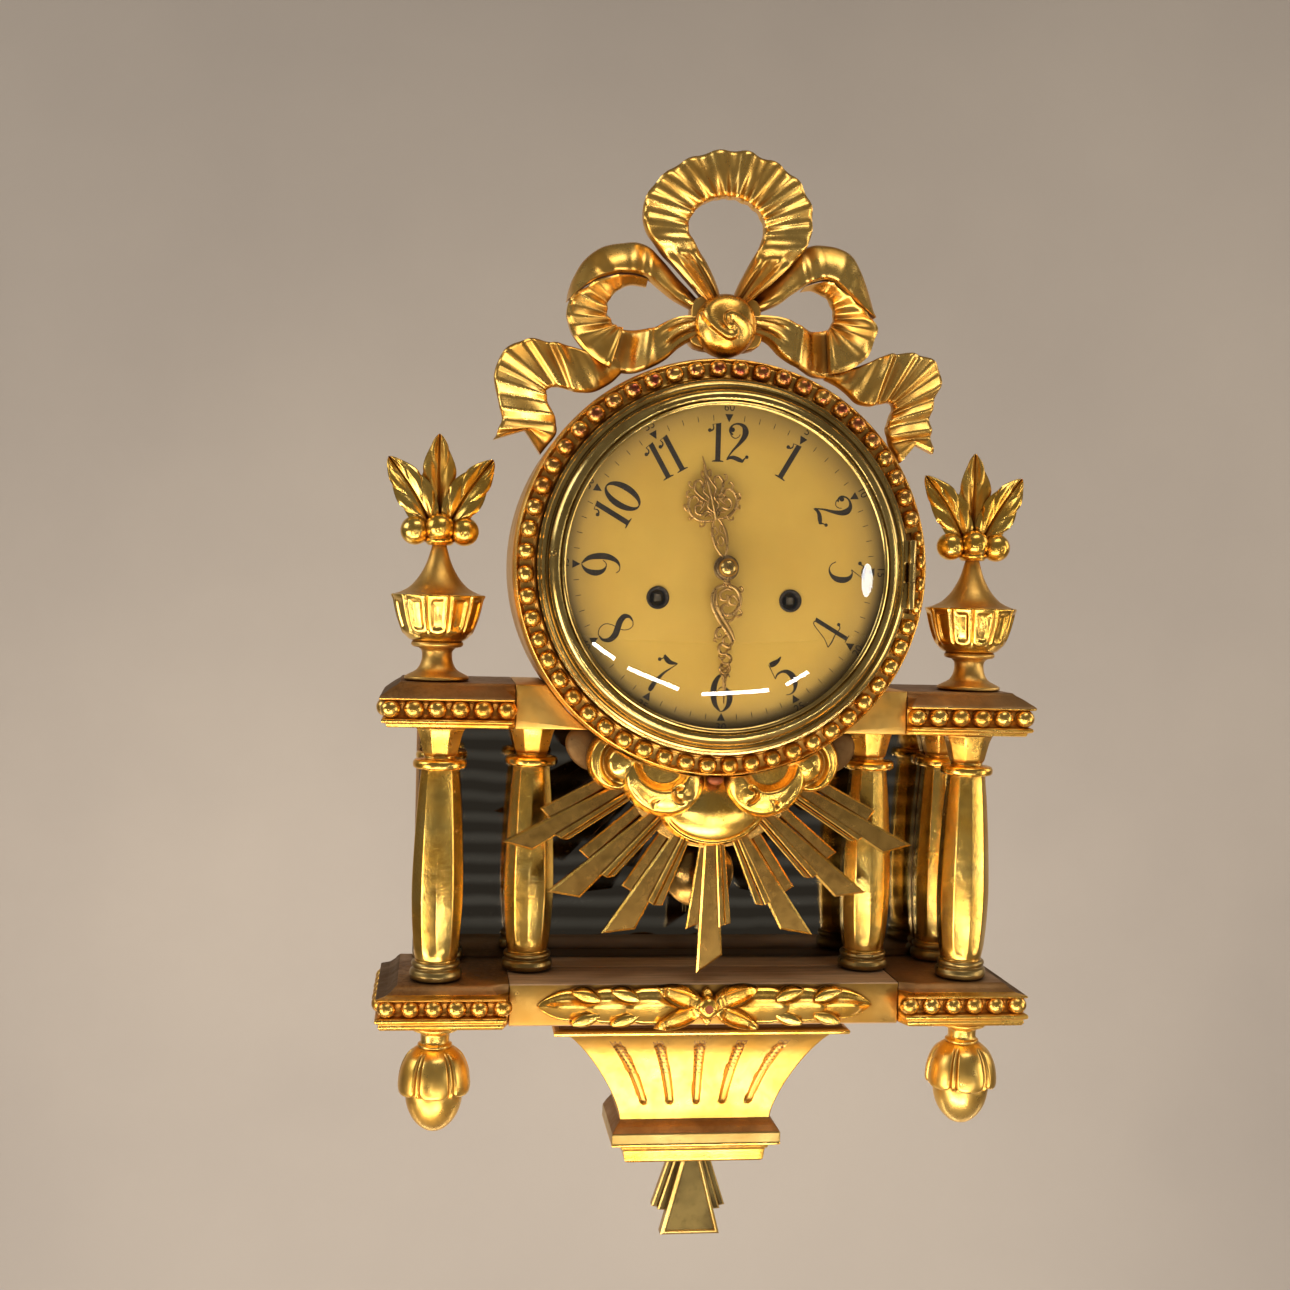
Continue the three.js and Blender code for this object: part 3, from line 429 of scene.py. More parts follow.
def emit(name, body, mats, on="root", stands_for=(), sharp=38, weld=True, flat=False):
    me = bpy.data.meshes.new(name)
    v = place(np.concatenate(body.v))
    me.from_pydata(v.tolist(), [], body.f)
    mats = mats if isinstance(mats, (list, tuple)) else [mats]
    for m in mats:
        me.materials.append(m)
    me.polygons.foreach_set("material_index", [min(k, len(mats) - 1) for k in body.m])
    bm = bmesh.new()
    bm.from_mesh(me)
    if weld:
        bmesh.ops.remove_doubles(bm, verts=bm.verts, dist=1e-6)
    bmesh.ops.dissolve_degenerate(bm, edges=bm.edges, dist=1e-7)
    bmesh.ops.recalc_face_normals(bm, faces=bm.faces)
    bm.to_mesh(me)
    bm.free()
    me.validate()
    if not flat:
        me.polygons.foreach_set("use_smooth", [True] * len(me.polygons))
        me.set_sharp_from_angle(angle=math.radians(sharp))
    ob = bpy.data.objects.new(name, me)
    bpy.context.scene.collection.objects.link(ob)
    if stands_for:
        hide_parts(*stands_for)
    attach(ob, on)
    return ob


def catmull(pts, n=8, closed=False):
    """Points of a smooth curve through pts."""
    p = np.asarray(pts, float)
    if closed:
        p = np.vstack([p[-1], p, p[0], p[1]])
    else:
        p = np.vstack([2 * p[0] - p[1], p, 2 * p[-1] - p[-2]])
    out = []
    for i in range(1, len(p) - 2):
        for k in range(n):
            t = k / n
            out.append(0.5 * ((2 * p[i]) + (-p[i - 1] + p[i + 1]) * t + (2 * p[i - 1] - 5 * p[i] + 4 * p[i + 1] - p[i + 2]) * t * t
                              + (-p[i - 1] + 3 * p[i] - 3 * p[i + 1] + p[i + 2]) * t ** 3))
    if not closed:
        out.append(p[-2])
    return np.array(out)


def resample(pts, n, closed=False):
    p = np.asarray(pts, float)
    if closed:
        p = np.vstack([p, p[0]])
    d = np.r_[0, np.cumsum(np.linalg.norm(np.diff(p, axis=0), axis=1))]
    s = np.linspace(0, d[-1], n + 1 if closed else n)
    out = np.stack([np.interp(s, d, p[:, k]) for k in range(p.shape[1])], 1)
    return out[:-1] if closed else out


def rounded(pts, r, steps=4, closed=False):
    """The polyline with each corner turned into a small arc, so that edges catch light."""
    p = [np.asarray(a, float) for a in pts]
    n, out = len(p), []
    rs = r if hasattr(r, "__len__") else [r] * n
    for i in range(n):
        if not closed and i in (0, n - 1):
            out.append(p[i])
            continue
        a, b, c = p[i - 1], p[i], p[(i + 1) % n]
        la, lc = np.linalg.norm(a - b), np.linalg.norm(c - b)
        k = min(rs[i], la * 0.45, lc * 0.45)
        if k < 1e-4:
            out.append(b)
            continue
        s, e = b + (a - b) / la * k, b + (c - b) / lc * k
        for j in range(steps + 1):
            t = j / steps
            out.append((1 - t) ** 2 * s + 2 * t * (1 - t) * b + t * t * e)
    return np.array(out)


def refine(pts, step):
    """Extra points along long straight stretches."""
    p = np.asarray(pts, float)
    out = [p[0]]
    for a, b in zip(p[:-1], p[1:]):
        k = max(1, int(math.ceil(np.linalg.norm(b - a) / step)))
        out += [a + (b - a) * j / k for j in range(1, k + 1)]
    return np.array(out)


def lathe(profile, centre, axis="z", seg=64, shape=None, ring=False, start=0.0, body=None, mat=0):
    """Turns (r, h) about an axis through centre. axis z: centre (x, q); axis q: centre (x, z).
    shape(angle, r, h) returns a changed radius. A ring profile is closed on itself."""
    prof = [tuple(map(float, p)) for p in profile]
    verts, rows = [], []
    for r, h in prof:
        if r < 1e-6 and not ring:
            rows.append([len(verts)])
            verts.append((0.0, 0.0, h))
            continue
        row = []
        for k in range(seg):
            a = TAU * k / seg + start
            rr = shape(a, r, h) if shape else r
            hh = h
            if isinstance(rr, tuple):
                rr, hh = rr
            row.append(len(verts))
            verts.append((rr * math.cos(a), rr * math.sin(a), hh))
        rows.append(row)
    faces = []
    pairs = list(zip(rows[:-1], rows[1:])) + ([(rows[-1], rows[0])] if ring else [])
    for a, b in pairs:
        if len(a) == 1 and len(b) == 1:
            continue
        if len(a) == 1:
            faces += [(a[0], b[(k + 1) % seg], b[k]) for k in range(seg)]
        elif len(b) == 1:
            faces += [(a[k], a[(k + 1) % seg], b[0]) for k in range(seg)]
        else:
            faces += [(a[k], a[(k + 1) % seg], b[(k + 1) % seg], b[k]) for k in range(seg)]
    for row in (rows[0], rows[-1]):
        if not ring and len(row) > 1:
            faces.append(tuple(row))
    v = np.array(verts)
    if axis == "z":
        out = np.stack([v[:, 0] + centre[0], v[:, 1] + centre[1], v[:, 2]], 1)
    elif axis == "q":
        out = np.stack([v[:, 0] + centre[0], v[:, 2], v[:, 1] + centre[1]], 1)
    else:
        out = np.stack([v[:, 2], v[:, 0] + centre[0], v[:, 1] + centre[1]], 1)
    body = body or Body()
    return body.add(out, faces, mat)


def tube_grid(rings, body=None, caps=True, closed=False, mat=0):
    """Skins a list of equal closed loops of points (each n×3)."""
    r = np.asarray(rings, float)
    m, n, _ = r.shape
    faces = []
    for i in range(m if closed else m - 1):
        a, b = i * n, ((i + 1) % m) * n
        for k in range(n):
            k2 = (k + 1) % n
            faces.append((a + k, a + k2, b + k2, b + k))
    if caps and not closed:
        faces.append(tuple(range(n - 1, -1, -1)))
        faces.append(tuple(range((m - 1) * n, m * n)))
    body = body or Body()
    return body.add(r.reshape(-1, 3), faces, mat)


def sweep(path, section, up=(0, 1, 0), body=None, closed=False, mat=0, caps=True):
    """Runs a closed section along a path. section: (n×2) points (side, up) or a function of t giving them."""
    p = np.asarray(path, float)
    m = len(p)
    if closed:
        t = np.roll(p, -1, 0) - np.roll(p, 1, 0)
    else:
        t = np.gradient(p, axis=0)
    t /= np.maximum(np.linalg.norm(t, axis=1, keepdims=True), 1e-9)
    upv = np.asarray(up, float)
    rings = []
    for i in range(m):
        s = np.cross(t[i], upv)
        s /= max(np.linalg.norm(s), 1e-9)
        u = np.cross(s, t[i])
        sec = section(i / (m - 1 if not closed else m)) if callable(section) else section
        sec = np.asarray(sec, float)
        rings.append(p[i] + sec[:, :1] * s + sec[:, 1:] * u)
    return tube_grid(rings, body, caps=caps, closed=closed, mat=mat)


def ellipse(a, b, n=12):
    k = np.arange(n) * TAU / n
    return np.stack([a * np.cos(k), b * np.sin(k)], 1)


def ball(c, r, body=None, nu=20, nv=14, mat=0, squeeze=(1, 1, 1)):
    verts, faces = [], []
    c = np.asarray(c, float)
    rr = np.asarray(squeeze, float) * r
    verts.append(c + [0, 0, rr[2]])
    for j in range(1, nv):
        th = math.pi * j / nv
        for k in range(nu):
            ph = TAU * k / nu
            verts.append(c + np.array([math.sin(th) * math.cos(ph), math.sin(th) * math.sin(ph), math.cos(th)]) * rr)
    verts.append(c - [0, 0, rr[2]])
    last = len(verts) - 1
    for k in range(nu):
        faces.append((0, 1 + k, 1 + (k + 1) % nu))
        faces.append((last, last - nu + (k + 1) % nu, last - nu + k))
    for j in range(nv - 2):
        a, b = 1 + j * nu, 1 + (j + 1) * nu
        for k in range(nu):
            faces.append((a + k, b + k, b + (k + 1) % nu, a + (k + 1) % nu))
    body = body or Body()
    return body.add(np.array(verts), faces, mat)


def poly_area(p):
    x, y = p[:, 0], p[:, 1]
    return 0.5 * np.sum(x * np.roll(y, -1) - np.roll(x, -1) * y)


def inset(p, d):
    """Moves a closed 2-D outline inward by d."""
    p = np.asarray(p, float)
    s = 1 if poly_area(p) > 0 else -1
    e1 = p - np.roll(p, 1, 0)
    e2 = np.roll(p, -1, 0) - p
    n1 = np.stack([-e1[:, 1], e1[:, 0]], 1)
    n2 = np.stack([-e2[:, 1], e2[:, 0]], 1)
    n1 /= np.maximum(np.linalg.norm(n1, axis=1, keepdims=True), 1e-9)
    n2 /= np.maximum(np.linalg.norm(n2, axis=1, keepdims=True), 1e-9)
    nn = n1 + n2
    ln = np.linalg.norm(nn, axis=1, keepdims=True)
    nn /= np.maximum(ln, 1e-9)
    cosh = np.clip(np.sum(nn * n1, 1, keepdims=True), 0.35, 1)
    return p + s * nn * d / cosh


def slab(outline, q0, q1, edge=0.8, steps=3, body=None, mat=0, back_edge=None, dome=0.0):
    """A solid with a 2-D (x, z) outline between q0 (back) and q1 (front), its front edge rounded."""
    p = np.asarray(outline, float)
    be = edge * 0.5 if back_edge is None else back_edge
    rings = []
    for k in range(steps + 1):
        a = math.pi / 2 * k / steps
        rings.append((inset(p, be * (1 - math.sin(a))), q0 + be * (1 - math.cos(a))))
    for k in range(steps + 1):
        a = math.pi / 2 * k / steps
        rings.append((inset(p, edge * (1 - math.cos(a))), q1 - dome - edge * (1 - math.sin(a))))
    if dome:
        base = inset(p, edge)
        for d, h in ((edge * 1.5, 0.6), (edge * 3, 1.0)):
            rings.append((inset(base, d), q1 - dome * (1 - h)))
    n = len(p)
    verts = np.concatenate([np.stack([a[:, 0], np.full(n, q), a[:, 1]], 1) for a, q in rings])
    faces = []
    for i in range(len(rings) - 1):
        for k in range(n):
            k2 = (k + 1) % n
            faces.append((i * n + k, i * n + k2, (i + 1) * n + k2, (i + 1) * n + k))
    faces.append(tuple(range(n - 1, -1, -1)))
    faces.append(tuple(range((len(rings) - 1) * n, len(rings) * n)))
    body = body or Body()
    return body.add(verts, faces, mat)


def block(lo, hi, edge=0.8, body=None, mat=0):
    """A straight timber with softened edges, as rounded rings along z."""
    (x0, q0, z0), (x1, q1, z1) = lo, hi
    def ring(i, z):
        pts = rounded([(x0 + i, q0 + i), (x1 - i, q0 + i), (x1 - i, q1 - i), (x0 + i, q1 - i)], max(edge - i, 0.05), 3, closed=True)
        return np.stack([pts[:, 0], pts[:, 1], np.full(len(pts), z)], 1)
    rings = []
    for k in range(4):
        a = math.pi / 2 * k / 3
        rings.append(ring(edge * (1 - math.sin(a)) * 0.98, z0 + edge * (1 - math.cos(a))))
    nz = max(2, int((z1 - z0) / 20))
    for k in range(1, nz):
        rings.append(ring(0, z0 + edge + (z1 - z0 - 2 * edge) * k / nz))
    for k in range(4):
        a = math.pi / 2 * (3 - k) / 3
        rings.append(ring(edge * (1 - math.sin(a)) * 0.98, z1 - edge * (1 - math.cos(a))))
    return tube_grid(rings, body, mat=mat)


def smooth01(x):
    x = np.clip(x, 0, 1)
    return x * x * (3 - 2 * x)


def sheet_solid(front, back, body=None, mat=0):
    """A closed solid from two equal grids of points (nu × nv × 3), joined round their edges."""
    f, b = np.asarray(front, float), np.asarray(back, float)
    nu, nv, _ = f.shape
    verts = np.concatenate([f.reshape(-1, 3), b.reshape(-1, 3)])
    off = nu * nv
    faces = []
    for i in range(nu - 1):
        for j in range(nv - 1):
            a = i * nv + j
            faces.append((a, a + 1, a + nv + 1, a + nv))
            faces.append((off + a, off + a + nv, off + a + nv + 1, off + a + 1))
    rim = [(i, 0) for i in range(nu)] + [(nu - 1, j) for j in range(1, nv)] + [(i, nv - 1) for i in range(nu - 2, -1, -1)] + [(0, j) for j in range(nv - 2, 0, -1)]
    for (i, j), (k, l) in zip(rim, rim[1:] + rim[:1]):
        a, c = i * nv + j, k * nv + l
        faces.append((a, off + a, off + c, c))
    body = body or Body()
    return body.add(verts, faces, mat)


# ---------------------------------------------------------------- studio
def area(name, loc, target, size, power, col=(1, 1, 1), size_y=None, spread=180, shape="RECTANGLE", along=None):
    """A soft panel. along gives the direction of its long side."""
    li = bpy.data.lights.new(name, "AREA")
    li.shape = shape
    li.size, li.size_y = size, size_y or size
    li.energy, li.color = power, col
    li.spread = math.radians(spread)
    ob = bpy.data.objects.new(name, li)
    z = (Vector(loc) - Vector(target)).normalized()
    x = Vector(along).normalized() if along else Vector((0, 0, 1)).cross(z).normalized()
    y = z.cross(x).normalized()
    x = y.cross(z).normalized()
    m = Matrix.Identity(4)
    for k, v in enumerate((x, y, z)):
        m[0][k], m[1][k], m[2][k] = v
    m[0][3], m[1][3], m[2][3] = loc
    ob.matrix_world = m
    ob.visible_camera = False
    bpy.context.scene.collection.objects.link(ob)
    return ob


FLOOR_Z = -1.35


def studio():
    # a cove: floor, a wide curve and a far wall in one sheet
    m = Nodes("studio_paper")
    big = m.noise(1.6, 3)
    m.link(m.mix(m.span(big, 0.35, 0.7, 0, 1), (0.50, 0.445, 0.395), (0.45, 0.40, 0.36)), m.b.inputs["Base Color"])
    m.link(m.span(m.noise(40, 4), 0.3, 0.7, 0.75, 0.9), m.b.inputs["Roughness"])
    m.bump(m.noise(300, 4), 0.05, 0.001)
    path = [(-4.5, FLOOR_Z)] + [(0.55, FLOOR_Z)]
    for k in range(1, 15):
        a = math.pi / 2 * k / 14
        path.append((0.55 + 0.85 * math.sin(a), FLOOR_Z + 0.85 * (1 - math.cos(a))))
    path.append((1.40, 3.2))
    verts, faces = [], []
    for y, z in path:
        verts += [(-4.5, y, z), (4.5, y, z)]
    for k in range(len(path) - 1):
        a = 2 * k
        faces.append((a, a + 1, a + 3, a + 2))
    me = bpy.data.meshes.new("cove")
    me.from_pydata(verts, [], faces)
    me.materials.append(m.mat)
    me.polygons.foreach_set("use_smooth", [True] * len(me.polygons))
    ob = bpy.data.objects.new("cove", me)
    bpy.context.scene.collection.objects.link(ob)
    ob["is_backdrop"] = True
    w = bpy.data.worlds.new("studio_air")
    w.use_nodes = True
    bg = w.node_tree.nodes["Background"]
    bg.inputs[0].default_value = (0.86, 0.79, 0.70, 1)
    bg.inputs[1].default_value = 0.165
    bpy.context.scene.world = w
    sc = bpy.context.scene
    sc.view_settings.view_transform = "Standard"
    sc.view_settings.look = "None"
    sc.view_settings.exposure = 0.0
    # large soft panels: the strong ones are low in front, so mouldings are bright below and dark on top
    warm = (1.0, 0.86, 0.66)
    area("key_low", (-0.30, -0.98, -1.25), (0, -0.03, -0.2), 1.5, 17.5, warm, 0.34)
    area("low_left", (-1.35, -0.85, -0.75), (0, 0, -0.15), 0.6, 10.5, (1.0, 0.90, 0.76), 0.8)
    area("right_soft", (1.45, -0.72, -0.30), (0, 0, -0.15), 0.35, 4.8, (1.0, 0.90, 0.74), 1.0)
    area("window_left", (-1.75, -0.45, 0.75), (0, 0, -0.05), 0.7, 6, (0.90, 0.95, 1.0), 0.9)
    area("top", (0.25, -0.75, 1.35), (0, -0.05, 0), 1.0, 5.0, (1.0, 0.95, 0.88), 0.4)
    area("wall_low", (0.0, 0.35, -1.2), (0, 1.42, -0.35), 2.6, 12.0, (1.0, 0.94, 0.86), 0.35)
    area("wall_side", (-2.2, 0.2, 0.9), (-0.2, 1.4, 0.2), 1.0, 3.6, (0.96, 0.94, 0.93), 1.0)
    area("wall_right", (2.2, 0.2, 0.5), (0.75, 1.4, 0.0), 1.0, 8.5, (1.0, 0.93, 0.84), 1.2)
    # a small window far to the right and narrow tubes low in front: they draw the lights on the domed glass
    area("small_window", (1.05, -1.20, -0.105), (0.08, -0.109, -0.087), 0.075, 0.45, (0.92, 0.96, 1.0), 0.19, shape="ELLIPSE")
    for k, (p0, p1) in enumerate((((-0.628, -1.642, -0.598), (-0.473, -1.655, -0.704)), ((-0.380, -1.655, -0.763), (-0.021, -1.638, -0.893)),
                                  ((0.140, -1.619, -0.918), (0.596, -1.542, -0.864)), ((0.708, -1.515, -0.823), (0.850, -1.486, -0.728)))):
        a, c = Vector(p0), Vector(p1)
        area(f"tube_{k}", (a + c) / 2, (0, -0.109, -0.145), (c - a).length, 4.5 * (c - a).length, (1.0, 0.97, 0.92), 0.026, along=c - a)


studio()


def paint(body, rule):
    """Sets the material index of each face from its centre (x, q, z) and normal."""
    v = np.concatenate(body.v)
    for k, f in enumerate(body.f):
        p = v[f]
        c = p.mean(0)
        nrm = np.zeros(3)
        for i in range(len(f)):
            nrm += np.cross(p[i], p[(i + 1) % len(f)])
        ln = np.linalg.norm(nrm)
        body.m[k] = rule(c, nrm / ln if ln > 1e-9 else nrm)
    return body


# ---------------------------------------------------------------- drum and bead ring
def drum():
    prof = [(109, -2.7), (117, -2.7), (117, 13), (117, 41), (117, 77), (115.5, 80), (103.6, 80), (103.6, 88), (98.5, 88),
            (98.5, 86.2), (94, 86.2), (94, 78), (109, 78), (109, 41), (109, 13)]
    out = []
    n = len(prof)
    for i, p in enumerate(prof):
        if p[1] in (13, 41):
            out.append(p)
            continue
        a, b, c = map(np.array, (prof[i - 1], p, prof[(i + 1) % n]))
        k = min(0.7, np.linalg.norm(a - b) * 0.4, np.linalg.norm(c - b) * 0.4)
        s, e = b + (a - b) / np.linalg.norm(a - b) * k, b + (c - b) / np.linalg.norm(c - b) * k
        out += [tuple((1 - t) ** 2 * s + 2 * t * (1 - t) * b + t * t * e) for t in (0, 0.33, 0.67, 1)]
    out = [tuple(map(float, p)) for p in out]
    half = math.degrees(math.asin(25 / 113.0))
    angs = sorted(set([270 - half, 270 + half] + [270 - half + 2 * half * k / 14 for k in range(1, 14)]
                      + [270 + half + (360 - 2 * half) * k / 196 for k in range(1, 196)]))
    m, n = len(angs), len(out)
    verts = [(r * math.cos(math.radians(a)), q, r * math.sin(math.radians(a))) for a in angs for r, q in out]
    faces = []
    ix = {p: i for i, p in enumerate(out)}
    oa, ob, ia, ib = ix[(117.0, 13.0)], ix[(117.0, 41.0)], ix[(109.0, 41.0)], ix[(109.0, 13.0)]
    slot = [k for k in range(m) if 270 - half - 1e-6 <= angs[k] <= 270 + half + 1e-6]
    inside = set(slot[:-1])
    for k in range(m):
        k2 = (k + 1) % m
        for i in range(n):
            i2 = (i + 1) % n
            if k in inside and i in (oa, ia):
                continue
            faces.append((k * n + i, k2 * n + i, k2 * n + i2, k * n + i2))
    for k in slot[:-1]:
        faces.append((k * n + oa, (k + 1) * n + oa, (k + 1) * n + ib, k * n + ib))
        faces.append((k * n + ob, (k + 1) * n + ob, (k + 1) * n + ia, k * n + ia))
    for k in (slot[0], slot[-1]):
        faces.append((k * n + oa, k * n + ob, k * n + ia, k * n + ib))
    b = Body().add(verts, faces)
    paint(b, lambda c, nn: 1 if math.hypot(c[0], c[2]) < 112 and c[1] < 79 else 0)
    emit("drum_case_gilt", b, [GILT_DULL, WOOD_BACK], stands_for=["drum_case"])


def beads():
    b = Body()
    # base ring with its thin outer lip, cut back at the hinge on the right
    def base(a0, a1, prof, seg, cl=False):
        rings = []
        for k in range(seg + (0 if cl else 1)):
            a = math.radians(a0 + (a1 - a0) * k / seg)
            rings.append([(r * math.cos(a), q, r * math.sin(a)) for r, q in prof])
        tube_grid(rings, b, closed=cl)
    full = rounded([(104.5, 80.3), (115.5, 80.3), (115.7, 84.6), (115.0, 85.2), (114.2, 84.2), (113.2, 83.0), (106.6, 83.0),
                    (105.9, 83.8), (105.3, 84.0), (104.5, 83.6)], 0.4, 2, closed=True)
    cut = rounded([(109.6, 80.3), (115.5, 80.3), (115.7, 84.6), (114.6, 85.2), (113.6, 84.2), (113.0, 83.0), (110.4, 83.0),
                   (109.6, 82.8)], 0.3, 2, closed=True)
    ha = 12.2
    base(ha, 360 - ha, full, 220)
    base(-ha, ha, cut, 22)
    rnd = random.Random(5)
    n = 56
    for k in range(n):
        a = TAU * (k + 0.5) / n
        deg = (math.degrees(a) + 180) % 360 - 180
        near = abs(deg) < 13.5
        r0 = 112.4 if near else 110.0
        sr, st, sq = (3.0, 4.6, 4.7) if near else (5.0, 5.15, 6.0)
        sr *= 1 + rnd.uniform(-0.04, 0.04)
        st *= 1 + rnd.uniform(-0.05, 0.05)
        bb = Body()
        ball((0, 0, 0), 1.0, bb, nu=22, nv=14)
        v = np.concatenate(bb.v)
        # slightly squared, as carved beads are
        e = 0.86
        v = np.sign(v) * np.abs(v) ** e
        v /= np.maximum(np.linalg.norm(v, axis=1, keepdims=True) ** 0.35, 1e-6)
        tilt = rnd.uniform(-0.12, 0.12)
        rad, tan = v[:, 0] * sr, v[:, 2] * st
        rad, tan = rad * math.cos(tilt) - tan * math.sin(tilt), rad * math.sin(tilt) + tan * math.cos(tilt)
        x = (r0 + rad) * math.cos(a) - tan * math.sin(a)
        z = (r0 + rad) * math.sin(a) + tan * math.cos(a)
        q = 83.6 + v[:, 1] * sq
        bb.v = [np.stack([x, q, z], 1)]
        b.join(bb)
    emit("bead_ring_gilt", b, RING_GILT, stands_for=["bead_ring"], sharp=50)


# ---------------------------------------------------------------- shelves and blocks
def half_shelf(side, name, node):
    r = 117.3
    a0, a1 = math.asin(-93 / r), math.asin(-68 / r)
    arc = [(r * math.cos(a0 + (a1 - a0) * k / 16), r * math.sin(a0 + (a1 - a0) * k / 16)) for k in range(17)]
    out = refine(np.array([arc[-1], (112.7, -68), (112.7, -93), arc[0]]), 6)[:-1].tolist() + [list(p) for p in arc[:-1]]
    p = np.array(out)
    p[:, 0] *= side
    b = slab(p, -10.7, 66, edge=0.9, steps=3)
    emit(name, b, BEAM_FACE, stands_for=[node])


def loft_block(prof, side, lip, zrow, qrow, xs, bead_r, name, node, mats, top_shade_from, x_in=113.0, x_out=188.6, back=-10.7, side_q=None):
    prof = rounded(prof, 0.55, 3)
    rings = []
    for q, z in prof:
        i = lip - q
        xo, xi = x_out - i, x_in + 0.8 * i
        # behind the beam's face the inner side stands square against it; only what projects is mitred
        qk = min(q - 0.6, 66.0)
        pts = rounded([(x_in, back), (xo, back), (xo, q), (max(xi, x_in + 0.1), q), (x_in, qk)], [0.3, 0.3, 0.6, 0.4, 0.1], 3, closed=True)
        rings.append(np.stack([pts[:, 0] * side, pts[:, 1], np.full(len(pts), z)], 1))
    b = tube_grid(rings)
    # painted shade: the upper crown takes dark brown gilt and the upper outer side a still darker brown, for the shade
    # they sit in under low lamps
    paint(b, lambda c, nn: 3 if abs(c[0]) > x_out - 13.2 and c[1] < 62 and c[2] > top_shade_from - 2.6 else (1 if c[2] > top_shade_from else 0))
    rnd = random.Random(int(abs(zrow) * 10) + (7 if side > 0 else 3))
    spots = [((x, qrow), 0) for x in xs]
    xo_row = x_out - (lip - qrow)
    q = qrow - (xs[1] - xs[0])
    while q > -5:
        spots.append(((xo_row, q), 1))
        q -= xs[1] - xs[0]
    for (x, q), onside in spots:
        s = 1 + rnd.uniform(-0.035, 0.035)
        sq = (bead_r * s * 1.03, bead_r * 0.98, bead_r * s * 0.96)
        if onside:
            sq = (sq[1], sq[0], sq[2])
        ball((x * side + rnd.uniform(-0.15, 0.15), q, zrow + rnd.uniform(-0.15, 0.15)), 1.0, b, nu=26, nv=18, mat=2, squeeze=sq)
    emit(name, b, mats, stands_for=[node], sharp=42)


def blocks():
    up = [(0.0, -68.0), (63, -68), (64.2, -69.2), (67.6, -71.2), (73.2, -75.2), (74.0, -76.2), (73.6, -77.3), (70.2, -77.9), (68.6, -79.2),
          (68.2, -82.3), (68.8, -85.6), (70.3, -87.3), (72.3, -88.0), (72.9, -89.2), (72.3, -90.2), (70.2, -90.7), (69.9, -92.2), (69.2, -92.8), (0.0, -92.8)]
    lo = [(0.0, -237.0), (67.6, -237), (69.0, -237.9), (70.6, -239.6), (73.6, -241.6), (78.6, -242.4), (79.2, -243.1), (78.4, -243.9), (75.8, -244.2),
          (74.6, -246), (74.4, -248), (74.8, -250.4), (76.0, -252.2), (79.0, -253.3), (79.6, -254.6), (79.0, -255.8), (77.2, -256.5), (77.6, -258.4), (76.6, -260.0), (0.0, -260.0)]
    # the first and last points lie under the flat top and bottom, so each ring there is small
    for side, tag in ((-1, "left"), (1, "right")):
        for prof, lip, zrow, qrow, xs, br, name, node, brown in (
            (up, 74.4, -82.2, 70.3, [117.8 + 12.84 * k for k in range(6)], 5.6, f"cornice_{tag}", f"cornice_block_{tag}", -76.4),
            (lo, 81.0, -247.9, 76.6, [116.6 + 12.78 * k for k in range(6)], 5.3, f"base_moulding_{tag}", f"base_block_{tag}", -241.0),
        ):
            loft_block(prof[1:-1], side, lip, zrow, qrow, xs, br, name, node, [GILT, BROWN_SHADE_AND_WEAR, GILT_BEAD, SIDE_PAINTED_SHADE], brown)


def lower_shelf():
    b = Body()
    block((-112.7, -10.7, -261.2), (112.7, 23.7, -237.0), 0.8, b)
    block((-112.7, 24.4, -261.2), (112.7, 66.0, -237.0), 0.8, b)
    paint(b, lambda c, nn: (1 if c[1] > 24 else 2) if c[2] > -237.9 or c[2] < -260.4 or c[1] < -10 else 0)
    emit("lower_shelf_boards", b, [SHELF_FACE, SHELF_WOOD, SHELF_REAR], stands_for=["lower_shelf"])


# ---------------------------------------------------------------- turned work
def facet(n, amount, soft=0.0):
    """Flat facets round a turned shape: amount(z) 0..1."""
    def f(a, r, z):
        k = amount(z)
        if k <= 0:
            return r
        d = (a + math.pi / 2) % (TAU / n) - math.pi / n
        flat = math.cos(math.pi / n) / math.cos(d)
        return r * (1 - k + k * flat * (1.0 + 0.012))
    return f


